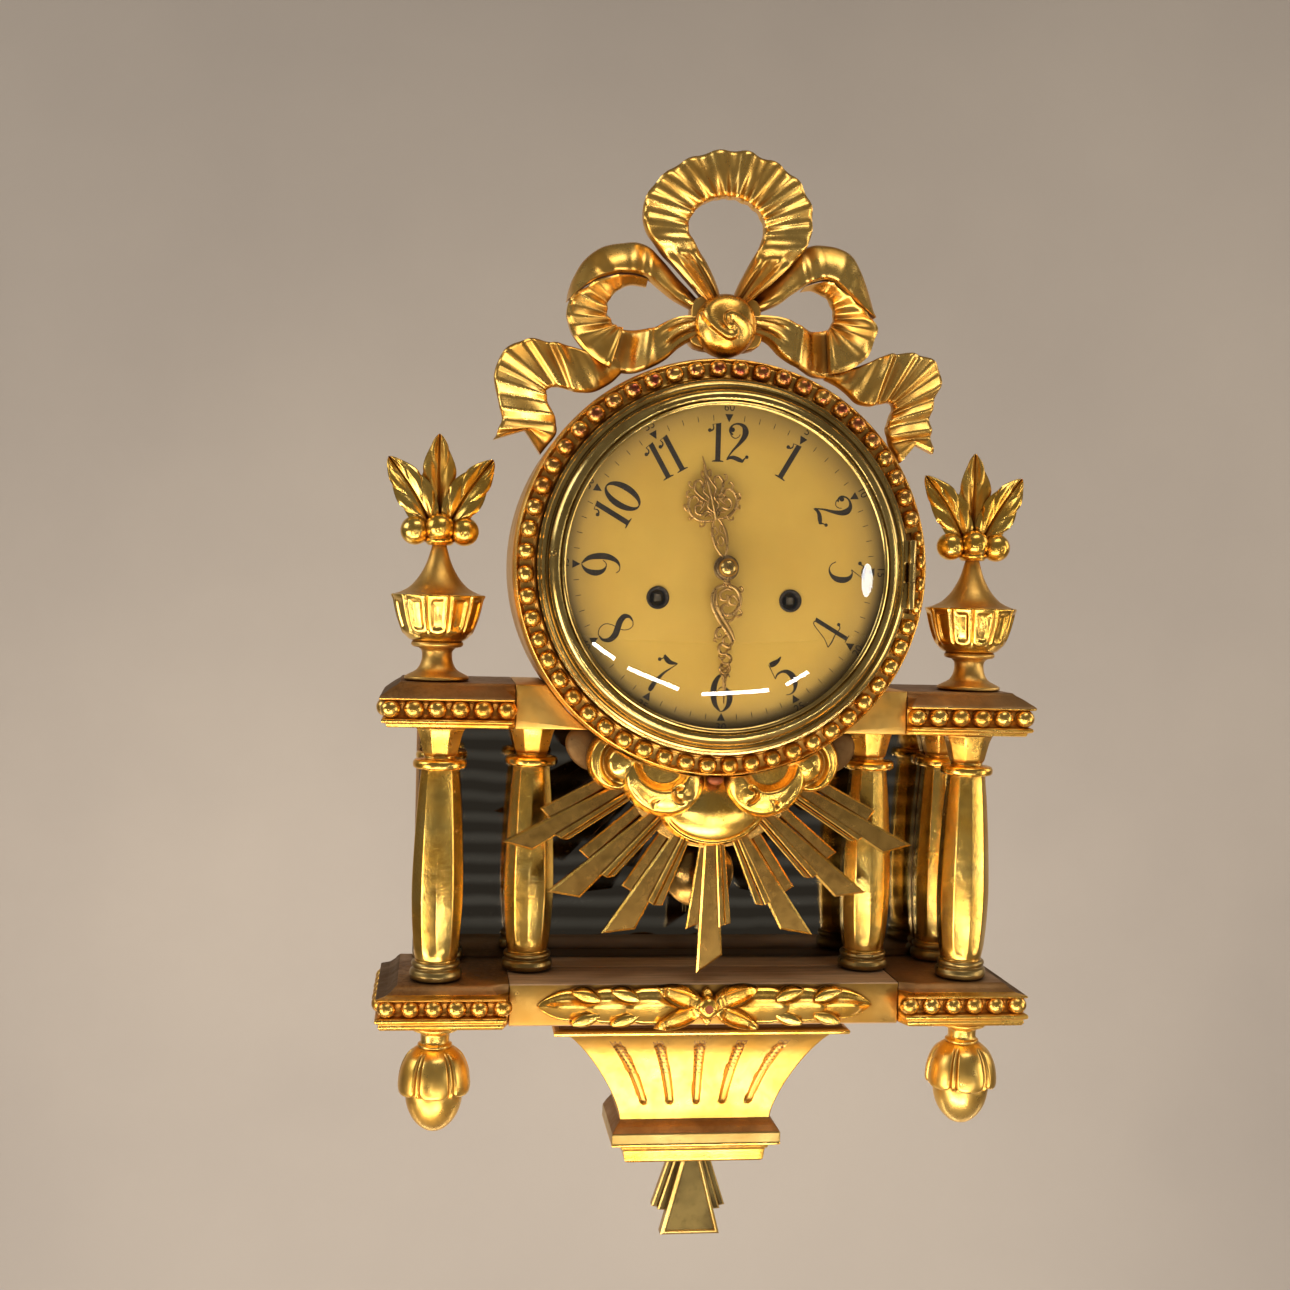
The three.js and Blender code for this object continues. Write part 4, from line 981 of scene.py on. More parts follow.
def column(x, q, name, node, rear=False):
    base = rounded([(0, -236.7), (12.3, -236.7), (14.2, -235.9), (14.95, -233.4), (14.3, -230.9), (12.8, -230.0), (12.7, -229.4), (13.5, -228.9),
                    (13.95, -227.5), (13.4, -226.2), (11.8, -225.8), (11.7, -225.2)], 0.5, 2)
    shaft = catmull([(11.8, -225.1), (12.9, -219), (14.0, -208), (14.75, -194), (14.85, -183), (14.4, -168), (13.5, -150), (12.3, -133), (11.2, -121), (10.9, -117.1)], 5)
    ringp = rounded([(10.9, -116.9), (14.2, -116.8), (15.2, -115.7), (15.3, -113.6), (14.6, -112.0), (12.6, -111.5), (9.6, -111.3)], 0.5, 2)
    cap = catmull([(9.2, -110.9), (9.1, -109.9), (10.2, -108.2), (11.3, -103.8), (12.6, -98.8), (13.9, -95.3), (14.5, -94.2)], 3)
    prof = [tuple(p) for p in base] + [tuple(p) for p in shaft] + [tuple(p) for p in ringp] + [tuple(p) for p in cap] + [(14.4, -93.4), (14.2, -93.3), (0, -93.3)]

    def amt10(z):
        return 0.80 * float(smooth01((z + 222.5) / 5.0)) if z < -117.0 else 0.0

    f10 = facet(10, amt10)
    f8 = facet(8, lambda z: 0.9 if z > -109.5 else 0.0)

    def shape(a, r, z):
        if -225.3 < z < -117.0:
            # the cut ends of the facets make shallow scallops above the base
            return f10(a, r, z)
        if z > -109.6:
            return f8(a + math.pi / 8, r, z)
        return r
    b = lathe(prof, (x, q), seg=120, shape=shape)
    v = np.concatenate(b.v)
    def rule(c, nn):
        if c[2] < -225.9:
            return 1
        if c[2] > -110:
            return 2
        return 0
    paint(b, rule)
    if rear:
        bb = np.concatenate(b.v)
        b.v = [bb]
    return b, node, name


def cut_flat(ob, q):
    """Takes off everything behind q and closes the cut."""
    me = ob.data
    bm = bmesh.new()
    bm.from_mesh(me)
    y = -(q + MIRROR_Y) / 1000
    geom = bm.verts[:] + bm.edges[:] + bm.faces[:]
    r = bmesh.ops.bisect_plane(bm, geom=geom, plane_co=(0, y, 0), plane_no=(0, 1, 0), clear_outer=True, dist=1e-7)
    edges = [e for e in r["geom_cut"] if isinstance(e, bmesh.types.BMEdge)]
    bmesh.ops.holes_fill(bm, edges=edges, sides=0)
    bmesh.ops.recalc_face_normals(bm, faces=bm.faces)
    bm.to_mesh(me)
    bm.free()
    me.set_sharp_from_angle(angle=math.radians(38))


def columns():
    for side, tag in ((-1, "left"), (1, "right")):
        for (x, q), kind, rear in (((154, 52.5), "front", False), ((101, 28.5), "inner", False), ((153, 5), "rear", True)):
            b, _, _ = column(x * side, q, "", "", rear)
            ob = emit(f"turned_column_{kind}_{tag}", b, [GILT_BRIGHT, BRONZE, GILT], stands_for=[f"column_{kind}_{tag}"], sharp=50)
            if rear:
                cut_flat(ob, 0.6)


def leaf(length, width, base, lean, qb, curl=3.0, thick=2.2, veins=3.2, seed=0, nu=72, nv=45, sway=0.0):
    """A broad carved leaf: a cut midline, wings that rise from it, a few slanting lobes a side and a blunt tip.
    base (x, z), lean is the tip's offset (dx, dz)."""
    bx, bz = base
    dx, dz = lean
    L = math.hypot(dx, dz)
    ux, uz = dx / L, dz / L
    px, pz = uz, -ux
    front, back = np.zeros((nu, nv, 3)), np.zeros((nu, nv, 3))
    for i in range(nu):
        u = i / (nu - 1)
        w = width / 2 * (math.sin(math.pi * min(1, (u * 0.955 + 0.045)) ** 0.84) ** 0.66)
        w = max(w, 1.1 * (1 - u) ** 0.5 + 0.10)
        for j in range(nv):
            v = -1 + 2 * j / (nv - 1)
            av = abs(v)
            ph = (u * veins - av * 1.05 + (0.22 if v > 0 else 0.0)) % 1.0
            # each lobe climbs slowly and drops at its far side, like overlapping cuts of a gouge
            lobe = math.sin(math.pi * ph ** 0.75) ** 0.9
            live = smooth01((u - 0.02) / 0.12) * (1 - smooth01((u - 0.84) / 0.14))
            ww = w * (1 - 0.115 * (1 - lobe) * live * av ** 3)
            sx = v * ww
            h = -1.7 * math.exp(-(av / 0.055) ** 2) * (1 - 0.6 * u)                 # cut midline
            h += (1.9 * smooth01(av / 0.55) - 1.1 * smooth01((av - 0.72) / 0.28)) * (1 - 0.35 * u)
            h += 1.25 * (lobe - 0.4) * smooth01((av - 0.10) / 0.35) * live
            h += curl * (0.55 * math.sin(math.pi * min(u * 1.05, 1)) - 0.9 * u * u)
            s = u * L
            bend = sway * math.sin(math.pi * u)
            cxx = bx + ux * s + px * (sx + bend)
            czz = bz + uz * s + pz * (sx + bend)
            q = qb + h + thick
            front[i, j] = (cxx, q, czz)
            back[i, j] = (cxx - px * np.sign(v) * 0.3 * av, q - thick * (1 - 0.62 * av ** 4) - 0.3, czz - pz * np.sign(v) * 0.3 * av)
    return sheet_solid(front, back)


def urn(side, tag):
    x0, q0 = 157 * side, 42
    foot = rounded([(0, -67.7), (17.4, -67.7), (18.5, -66.9), (18.2, -65.4), (15.2, -63.9)], 0.5, 3)
    stem = catmull([(15.0, -63.8), (11.6, -61.8), (9.5, -58.6), (8.6, -54.8), (8.8, -51.2), (10.4, -49.3)], 5)
    ringp = rounded([(10.6, -49.2), (13.9, -48.5), (14.9, -47.3), (14.6, -46.0), (13.8, -45.6)], 0.5, 3)
    bowl = catmull([(14.2, -45.4), (16.6, -44.0), (18.8, -41.6), (20.7, -38.0), (22.6, -33.0), (24.2, -27.2), (25.3, -22.0), (26.2, -19.8)], 6)
    rim = [(26.2, -19.3), (25.8, -18.9), (24.9, -18.8)]
    lid = catmull([(24.6, -18.7), (21.0, -17.4), (16.6, -14.8), (12.4, -10.4), (9.2, -5.4), (6.8, -0.2), (5.2, 5.0), (4.1, 9.0), (3.5, 11.2)], 5)
    prof = [tuple(p) for part in (foot, stem, ringp, bowl, rim, lid) for p in part] + [(0, 11.6)]
    n = 12

    def shape(a, r, z):
        if not (-44.9 < z < -18.7) or r < 15:
            return r
        d = ((a + math.pi / 2 + math.pi / n) % (TAU / n)) / (TAU / n) * 2 - 1      # -1..1 in one panel
        ad = abs(d)
        lower = -42.6 + 2.6 * ad ** 2.2
        k = float(smooth01((z - lower) / 1.8))
        top = float(smooth01((-19.0 - z) / 1.2))
        inside = float(smooth01((z - lower - 2.8) / 3.0)) * float(smooth01((-21.0 - z) / 2.6))
        border = 1.15 * (1 - smooth01((ad - 0.80) / 0.20)) - 0.5
        scoop = -1.35 * (1 - smooth01((ad - 0.34) / 0.34)) * inside
        rr = r + k * (border * (0.75 + 0.25 * top) + scoop)
        return rr
    b = lathe(prof, (x0, q0), seg=264, shape=shape)
    paint(b, lambda c, nn: 1 if (c[2] > -18.75 or c[2] < -45.5) else 0)
    emit(f"carved_urn_{tag}", b, [GILT_BRIGHT, GILT_DULL], stands_for=[f"urn_{tag}"], sharp=55)
    # berries and leaves
    g = Body()
    rnd = random.Random(11 if side > 0 else 23)
    for dx, z, dq, r in ((0, 18.9, 3.0, 8.3), (-13.9, 17.2, 0.8, 8.2), (13.9, 17.2, 0.8, 8.2), (0, 17.0, -9.0, 7.4)):
        prof = []
        for k in range(0, 25):
            th = math.pi * k / 24
            rr = r * math.sin(th)
            hh = r * math.cos(th)
            prof.append((max(rr, 0.0) if 0 < k < 24 else 0.0, hh))
        bb = lathe(prof, (0, 0), seg=40)
        v = np.concatenate(bb.v)
        # a small eye at the front, where the carver turned the berry's blossom end
        d = v / np.maximum(np.linalg.norm(v, axis=1, keepdims=True), 1e-6)
        ang = np.arccos(np.clip(d @ np.array([0.10, 0.97, -0.18]) / 1.0, -1, 1))
        v = v * (1 - 0.10 * np.exp(-(ang / 0.16) ** 2) + 0.02 * np.exp(-((ang - 0.34) / 0.12) ** 2))[:, None]
        v *= 1 + rnd.uniform(-0.015, 0.015)
        bb.v = [v + np.array([x0 + dx, q0 + dq, z])]
        g.join(bb)
    # a small collar under the berries
    lathe(rounded([(0, 9.0), (6.5, 9.0), (8.6, 11.2), (8.2, 13.4), (5.0, 15.2), (0, 15.6)], 0.8, 3), (x0, q0), seg=48, body=g)
    g.join(leaf(55, 22.0, (x0, 18.5), (1.2 * side, 54.3), 36.8, curl=1.4, veins=3.4, sway=0.4 * side), mat=1)
    g.join(leaf(46, 21.5, (x0 - 5.0, 20.5), (-24.6, 38.2), 40.2, curl=2.4, veins=3.0, sway=1.4))
    g.join(leaf(46, 21.5, (x0 + 5.0, 20.5), (24.6, 38.2), 40.2, curl=2.4, veins=3.0, sway=-1.4))
    emit(f"leaves_and_berries_{tag}", g, [GILT_BRIGHT, GILT], stands_for=[f"leaf_spray_{tag}"], sharp=60)


def acorn(side, tag):
    x0, q0 = 153.5 * side, 61
    flange = rounded([(0, -260.4), (13.2, -260.4), (14.0, -261.6), (13.2, -263.2), (9.4, -264.2), (8.2, -265.4), (8.0, -269.6), (8.6, -270.9), (9.6, -271.3), (9.8, -272.4)], 0.6, 3)
    cap = catmull([(9.4, -273.0), (11.8, -274.4), (14.9, -277.4), (17.4, -281.6), (19.1, -286.6), (19.9, -291.6), (20.0, -295.6), (19.6, -297.6)], 6)
    lip = [(19.0, -298.3), (17.6, -298.4), (16.3, -297.6)]
    egg = catmull([(16.1, -297.4), (16.0, -301.0), (15.2, -305.8), (13.4, -310.8), (10.6, -315.2), (6.8, -318.8), (3.0, -320.6), (0, -321.0)], 6)
    prof = [tuple(p) for part in (flange, cap, lip, egg) for p in part]
    prof[-1] = (0, -321.0)
    n = 6

    def shape(a, r, z):
        if not (-298.5 < z < -273.4):
            return r
        d = ((a + math.pi / 2 + math.pi / n) % (TAU / n)) / (TAU / n) * 2 - 1
        ad = abs(d)
        k = float(smooth01((-273.4 - z) / 5.0))
        lower = float(smooth01((-z - 288) / 9.0))
        wide = 1 - float(smooth01((ad - 0.80) / 0.06))
        groove = math.exp(-((ad - 0.835) / 0.055) ** 2)
        rr = r + k * (0.75 * wide * (1 - (ad / 0.82) ** 2 * 0.6) - 1.0 * groove - 0.55 * (1 - wide))
        hh = z
        if ad < 0.86:
            hh = z + lower * 2.6 * (ad / 0.86) ** 4
        else:
            hh = z + lower * 1.6 * ((ad - 0.93) / 0.07) ** 2
        return rr, hh
    b = lathe(prof, (x0, q0), seg=240, shape=shape)
    emit(f"acorn_drop_{tag}", b, ACORN, stands_for=[f"acorn_{tag}"], sharp=48)


# ---------------------------------------------------------------- console and tail
def rect_ring(xh, qb, qf, z, nfront=2, nside=2, r=0.5):
    """Points round a rectangle, x ±xh and q qb..qf, with rounded front corners; equal counts whatever the size."""
    pts = []
    for k in range(nfront + 1):                       # front, right to left
        pts.append((xh - r - (2 * xh - 2 * r) * k / nfront, qf))
    for k in range(1, 4):
        a = math.pi / 2 * k / 4
        pts.append((-xh + r - r * math.sin(a), qf - r + r * math.cos(a)))
    for k in range(nside + 1):
        pts.append((-xh, qf - r + (qb - qf + r) * k / nside))
    for k in range(nside + 1):
        pts.append((xh, qb + (qf - r - qb) * k / nside))
    for k in range(1, 4):
        a = math.pi / 2 * (4 - k) / 4
        pts.append((xh - r + r * math.sin(a), qf - r + r * math.cos(a)))
    return np.array([(x, q, z) for x, q in pts])


def console():
    # board: cove above in dark brown gilt as painted shade, bright rounded edge below
    prof = rounded([(82.2, 56.6, -261.5), (81.8, 56.3, -263.2), (82.8, 57.6, -265.2), (85.6, 60.3, -266.0), (86.6, 61.2, -267.0), (86.2, 60.8, -268.6), (84.0, 58.6, -269.1)], 0.4, 3)
    b = tube_grid([rect_ring(x, -10.7, q, z, 24, 8) for x, q, z in prof])
    paint(b, lambda c, nn: 1 if c[2] > -265.4 else 0)
    emit("console_top_board", b, [GILT_BRIGHT, BROWN_SHADE_AND_WEAR], stands_for=["console_board"], sharp=40)
    # concave body with five flutes
    front = catmull([(54, -269.3), (50.5, -274), (47, -282), (44, -293), (41.3, -306), (39.3, -318), (38.8, -324)], 8)
    sidep = catmull([(78.5, -269.3), (73.5, -274), (66.5, -282), (58.5, -293), (51, -306), (46, -318), (44.8, -324)], 8)
    zs = np.linspace(-269.3, -324, 84)
    qf = np.interp(-zs, -front[:, 1], front[:, 0])
    xs = np.interp(-zs, -sidep[:, 1], sidep[:, 0])
    flutes = [((-48.5, -277), (-30.9, -315)), ((-24, -277), (-15.4, -315)), ((0, -277), (0, -315)), ((24, -277), (15.4, -315)), ((48.5, -277), (30.9, -315))]
    rings = []
    for z, q, xh in zip(zs, qf, xs):
        ring = rect_ring(xh, -10.7, q, z, 200, 8, r=0.7)
        for p in ring[:201]:
            d = 0
            for (xt, zt), (xb, zb) in flutes:
                t = (z - zt) / (zb - zt)
                # the groove follows the body's own taper
                tt = min(max(t, -0.1), 1.1)
                fx = xt / np.interp(-zt, -sidep[:, 1], sidep[:, 0])
                fb = xb / np.interp(-zb, -sidep[:, 1], sidep[:, 0])
                cx = (fx + (fb - fx) * min(max(t, 0), 1)) * xh
                w = 3.25 - 0.95 * min(max(t, 0), 1)
                dz = max(zb + w - z, 0) + max(z - (zt - w), 0)
                rr = math.hypot(p[0] - cx, dz) / w
                d = max(d, 2.1 * math.sqrt(max(0.0, 1 - rr * rr)) if rr < 1 else 0)
            p[1] -= d
        rings.append(ring)
    b = tube_grid(rings)

    def rubbed(c, nn):
        # the upper ends of the flutes are rubbed and dirty
        if c[2] > -277.5 + 3.2 or c[2] < -296:
            return 0
        for (xt, zt), (xb, zb) in flutes:
            t = min(max((c[2] - zt) / (zb - zt), 0), 1)
            fx = xt / np.interp(-zt, -sidep[:, 1], sidep[:, 0])
            fb = xb / np.interp(-zb, -sidep[:, 1], sidep[:, 0])
            cx = (fx + (fb - fx) * t) * np.interp(-c[2], -sidep[:, 1], sidep[:, 0])
            k = math.sin(c[0] * 2.3 + c[2] * 1.7) + math.sin(c[2] * 2.9 - xt)
            if abs(c[0] - cx) < (3.3 - t * 2.4) and k > -0.2 + t * 2.2:
                return 1
        return 0
    paint(b, rubbed)
    emit("console_fluted_body", b, [FASCIA, BROWN_SHADE_AND_WEAR], stands_for=["console_bracket"], sharp=50)
    prof = rounded([(44.6, 39.0, -324.3), (45.4, 40.0, -325.4), (47.4, 42.8, -327.4), (49.0, 45.0, -329.6), (49.5, 45.8, -330.2), (49.9, 46.2, -331.0), (49.9, 46.2, -336.4), (50.1, 46.5, -336.9), (50.0, 46.4, -338.0),
                    (48.8, 45.2, -338.5), (46.0, 42.0, -338.9), (44.2, 40.6, -340.2), (43.6, 40.2, -341.8), (42.6, 39.6, -342.2), (42.2, 39.2, -343.4), (41.8, 39.0, -346.8), (41.4, 38.9, -348.9), (40.4, 38.3, -349.9)], 0.35, 3)
    b = tube_grid([rect_ring(x, -10.7, q, z, 20, 8) for x, q, z in prof])
    # painted shade: the top bevel in dark brown gilt and the fascia in darker olive gilt
    paint(b, lambda c, nn: 1 if c[2] > -330.6 else (2 if c[2] > -336.6 else 0))
    emit("console_foot_moulding", b, [GILT_BRIGHT, BROWN_SHADE_AND_WEAR, OLIVE_GILT], stands_for=["console_plinth"], sharp=40)


def ray(b, root, tips, q0, q1, bevel=0.7, w_root=None, mat_face=0, mat_edge=1, raised=0.0, grooves=False):
    """A flat blade with thin bright bevels. root: two points (x, z); tips: two points."""
    (ax, az), (bx, bz) = root
    (cx, cz), (dx, dz) = tips
    p = np.array([(ax, az), (bx, bz), (dx, dz), (cx, cz)], float)
    p = refine(np.vstack([p, p[0]]), 4)[:-1]
    sub = Body()
    rings = [(p, q0), (p, q1 - bevel * 0.8), (inset(p, bevel), q1)]
    if raised:
        rings += [(inset(p, bevel * 1.6), q1), (inset(p, bevel * 2.2), q1 - raised)]
    n = len(p)
    verts = np.concatenate([np.stack([a[:, 0], np.full(n, q), a[:, 1]], 1) for a, q in rings])
    faces, mats = [], []
    for i in range(len(rings) - 1):
        for k in range(n):
            k2 = (k + 1) % n
            faces.append((i * n + k, i * n + k2, (i + 1) * n + k2, (i + 1) * n + k))
            mats.append(mat_edge)
    faces.append(tuple(range(n - 1, -1, -1)))
    mats.append(mat_face)
    faces.append(tuple(range((len(rings) - 1) * n, len(rings) * n)))
    mats.append(mat_face)
    sub.add(verts, faces)
    sub.m = mats
    return b.join(sub)


def tail():
    b = Body()
    for s in (-1, 1):
        ray(b, ((s * 7.2, -349.6), (s * 11.2, -349.6)), ((s * 18.6, -383.4), (s * 22.2, -382.8)), 15, 21.5, 0.8)
        ray(b, ((s * 3.6, -349.6), (s * 8.0, -349.6)), ((s * 13.6, -384.6), (s * 18.9, -384.2)), 17, 24, 0.9)
    ray(b, ((-5.4, -349.6), (5.4, -349.6)), ((-17.8, -396.9), (17.8, -396.9)), 22, 30.6, 1.2, raised=1.1)
    emit("tail_ray_blades", b, [TAIL_FACE, OLIVE_GILT], stands_for=["tail_rays"], sharp=25)


drum()
beads()
half_shelf(-1, "beam_left", "upper_shelf_left")
half_shelf(1, "beam_right", "upper_shelf_right")
blocks()
lower_shelf()
columns()
urn(-1, "left")
urn(1, "right")
acorn(-1, "left")
acorn(1, "right")
console()
tail()


# ---------------------------------------------------------------- sunburst
def sunburst():
    b = Body()
    # right half: (root centre, root width, tip a, tip b, back, front, edge); the left half is its mirror with small changes
    groups = [
        # outer, upper blade
        ((52, -117), 6, (97.0, -137.5), (92.0, -144.0), 60.5, 63.2),
        ((37, -134), 6, (74.5, -161.5), (69.0, -166.6), 60.5, 63.2),
        ((22, -145), 6, (50.0, -181.6), (43.5, -185.6), 60.5, 63.2),
    ]
    mains = [
        ((47, -123), 6.5, (118.2, -157.2), (101.2, -161.8), 61.2, 65.6),
        ((31, -139), 6.5, (91.8, -185.4), (73.8, -187.8), 61.2, 65.6),
        ((17, -150), 6.5, (61.0, -209.1), (41.7, -206.3), 61.2, 65.6),
    ]
    pairs = [
        ((42, -126), 4.8, (88.6, -152.0), (82.0, -157.0), 62.5, 68.0),
        ((27, -141), 4.8, (62.6, -174.0), (55.6, -178.4), 62.5, 68.0),
        ((13, -150), 4.8, (35.8, -190.0), (28.2, -194.0), 62.5, 68.0),
    ]

    def blade(root, w, ta, tb, q0, q1, side, sub=None, **kw):
        rx, rz = root
        cx, cz = (ta[0] + tb[0]) / 2, (ta[1] + tb[1]) / 2
        dx, dz = cx - rx, cz - rz
        ln = math.hypot(dx, dz)
        px, pz = -dz / ln, dx / ln
        ra = (rx + px * w / 2, rz + pz * w / 2)
        rb = (rx - px * w / 2, rz - pz * w / 2)
        if (ta[0] - cx) * px + (ta[1] - cz) * pz < 0:
            ra, rb = rb, ra
        m = lambda p: (p[0] * side, p[1])
        ray(b, (m(ra), m(rb)), (m(ta), m(tb)), q0, q1, **kw)

    rnd = random.Random(3)
    for side in (1, -1):
        j = lambda p: (p[0] + rnd.uniform(-0.5, 0.5), p[1] + rnd.uniform(-0.5, 0.5))
        for r, w, ta, tb, q0, q1 in groups:
            blade(r, w, j(ta), j(tb), q0, q1, side, bevel=0.85)
        for r, w, ta, tb, q0, q1 in mains:
            blade(r, w, j(ta), j(tb), q0, q1, side, bevel=1.15)
        for r, w, ta, tb, q0, q1 in pairs:
            # two slats side by side with a groove between them, one a little longer
            mx = lambda u, v, k: (u[0] + (v[0] - u[0]) * k, u[1] + (v[1] - u[1]) * k)
            a0, a1 = j(ta), mx(ta, tb, 0.46)
            b0, b1 = mx(ta, tb, 0.54), j(tb)
            rx, rz = r
            blade((rx + 1.0, rz + 1.1), w * 0.44, a0, a1, q0, q1, side, bevel=0.6)
            blade((rx - 1.0, rz - 1.1), w * 0.44, b0, (b1[0] - 1.2, b1[1] + 2.2), q0, q1 - 1.1, side, bevel=0.6)
    # bottom group
    ray(b, ((-4.6, -149), (2.4, -149)), ((-12.6, -206.6), (-4.2, -203.2)), 60.5, 63.4, 0.8)
    ray(b, ((-3.2, -149), (3.4, -149)), ((-6.2, -231.5), (8.6, -221.0)), 61.2, 65.8, 1.1)
    ray(b, ((2.4, -149), (4.8, -149)), ((5.8, -204.6), (9.0, -203.0)), 62.5, 68.2, 0.6)
    ray(b, ((5.0, -149), (7.2, -149)), ((9.4, -203.4), (12.8, -202.4)), 62.5, 67.0, 0.6)
    # a rough core behind the clouds that holds the blades together
    core = np.array([(56 * math.cos(a) * 1.0, -118 + 40 * math.sin(a)) for a in np.linspace(math.pi, TAU, 25)] + [(48, -112), (30, -119.8), (0, -119.9), (-30, -119.8), (-48, -112)])
    core = np.array([p for p in core])
    slab(core * [0.86, 1.0] + [0, -1.5], 60.6, 65.2, 0.6, 2, b)
    emit("sunburst_blades", b, [RAY_FACE, GILT_BRIGHT], stands_for=["sunburst_rays"], sharp=25)


def lobe(c, a, b_, rot, height, q0, body, fn=None, power=2.0, seg=128, rows=44, mat=0, keep=None):
    """A rounded carved mass over an ellipse: fn(x, z) in the lobe's own -1..1 frame adds relief in mm."""
    verts, faces = [], []
    cr, sr = math.cos(rot), math.sin(rot)
    ring = []
    rho = [math.sin(math.pi / 2 * k / rows) for k in range(rows + 1)]
    for i, p in enumerate(rho):
        row = []
        for k in range(seg if i else 1):
            t = TAU * k / seg
            u, v = p * math.cos(t), p * math.sin(t)
            h = height * (1 - p ** power) ** (1 / power)
            if fn:
                h += fn(u, v) * min(1.0, (1 - p) * 9)
            x = c[0] + (u * a) * cr - (v * b_) * sr
            z = c[1] + (u * a) * sr + (v * b_) * cr
            q = q0 + max(h, 0.0)
            row.append(len(verts))
            verts.append((x, q, z))
        ring.append(row)
    for r0, r1 in zip(ring[:-1], ring[1:]):
        if len(r0) == 1:
            faces += [(r0[0], r1[k], r1[(k + 1) % seg]) for k in range(seg)]
        else:
            faces += [(r0[k], r1[k], r1[(k + 1) % seg], r0[(k + 1) % seg]) for k in range(seg)]
    base = [len(verts) + k for k in range(seg)]
    for k in range(seg):
        x, q, z = verts[ring[-1][k]]
        verts.append((x, q0 - 5.0, z))
    faces += [(ring[-1][k], base[k], base[(k + 1) % seg], ring[-1][(k + 1) % seg]) for k in range(seg)]
    faces.append(tuple(base))
    v = np.array(verts, float)
    if keep:
        v = keep(v)
    body.add(v, faces, mat)
    return body


def clouds():
    def under_drum(v):
        # the drum's side cuts into the clouds: everything closer than its radius is pressed out below it
        r = np.hypot(v[:, 0], v[:, 2])
        inside = r < 117.4
        k = np.where(inside, 117.4 / np.maximum(r, 1e-6), 1.0)
        v[:, 0] *= k
        v[:, 2] *= k
        return v

    b = Body()
    # rear lobes at each side, plain, darkened with painted shade
    for s in (-1, 1):
        lobe((s * 69.0, -104.0), 15.5, 12.0, s * 0.55, 5.0, 61.5, b, keep=under_drum, mat=3)

    def dome(u, v):
        # hollow between the side scrolls, full and rounded below, with a thin lip round the bottom
        h = -4.6 * float(smooth01((v + 0.18) / 0.85)) * (1 - 0.25 * abs(u))
        h += 0.9 * math.exp(-((math.hypot(u, v) - 0.93) / 0.035) ** 2) * float(smooth01((-0.25 - v) / 0.3))
        h -= 0.9 * math.exp(-((math.hypot(u, v) - 0.86) / 0.04) ** 2) * float(smooth01((-0.25 - v) / 0.3))
        return h
    lobe((0, -133.5), 32.0, 24.4, 0, 11.6, 65.6, b, fn=dome, keep=under_drum, power=2.3, seg=180, rows=60)

    def scroll(side):
        def f(u, v):
            u = u * side                                    # +u is outward
            # a broad scoop above, a full bright band below it
            d1 = math.hypot((u - 0.16) / 0.66, (v - 0.34) / 0.66)
            h = -5.2 * (1 - float(smooth01((d1 - 0.66) / 0.40)))
            h += 1.0 * math.exp(-((math.hypot(u, v) - 0.84) / 0.10) ** 2) * float(smooth01((0.2 - v) / 0.5))
            # a comma cut at the inner end, and a short nick at the bottom
            x, y = u + 0.52, v + 0.16
            d2, a2 = math.hypot(x, y), math.atan2(y, x)
            k = float(smooth01((1.9 - abs(a2 + 0.35)) / 0.7))
            h -= 2.4 * k * math.exp(-((d2 - 0.20) / 0.050) ** 2)
            h += 0.9 * math.exp(-(d2 / 0.14) ** 2)
            x, y = u - 0.02, v + 0.66
            bend = x - 0.10 * math.cos(y * 9.0) + 0.08
            h -= 1.9 * math.exp(-(bend / 0.040) ** 2 - (y / 0.13) ** 2)
            return h
        return f

    def crescent(side):
        def f(u, v):
            u = u * side
            # a ball held in a rolled rim, parted by a deep crescent on the outer side
            x, y = u + 0.22, v + 0.02
            d, a = math.hypot(x, y), math.atan2(y, x)
            k = float(smooth01((2.0 - abs(a + 0.15)) / 0.9))
            h = -4.6 * k * math.exp(-((d - 0.66) / 0.115) ** 2)
            h += 1.6 * (1 - float(smooth01((d - 0.1) / 0.45)))
            h += 1.0 * math.exp(-((math.hypot(u, v) - 0.88) / 0.09) ** 2)
            return h
        return f
    for s in (-1, 1):
        lobe((s * 55.5, -109.0), 17.0, 17.6, s * 0.25, 12.0, 65.8, b, fn=crescent(s), keep=under_drum, power=2.6, seg=150, rows=60)
        lobe((s * 29.6, -119.6), 24.6, 21.0, s * 0.36, 13.2, 68.2, b, fn=scroll(s), keep=under_drum, power=2.7, seg=180, rows=72)
    # a small worn boss where the two scrolls meet under the drum
    lobe((0, -119.0), 4.4, 3.0, 0, 2.6, 77.0, b, keep=under_drum, mat=2, seg=40, rows=14)
    emit("cloud_scrolls", b, [GILT_BRIGHT, GILT_DULL, BOLE, SIDE_PAINTED_SHADE], stands_for=["cloud_carving"], sharp=55)


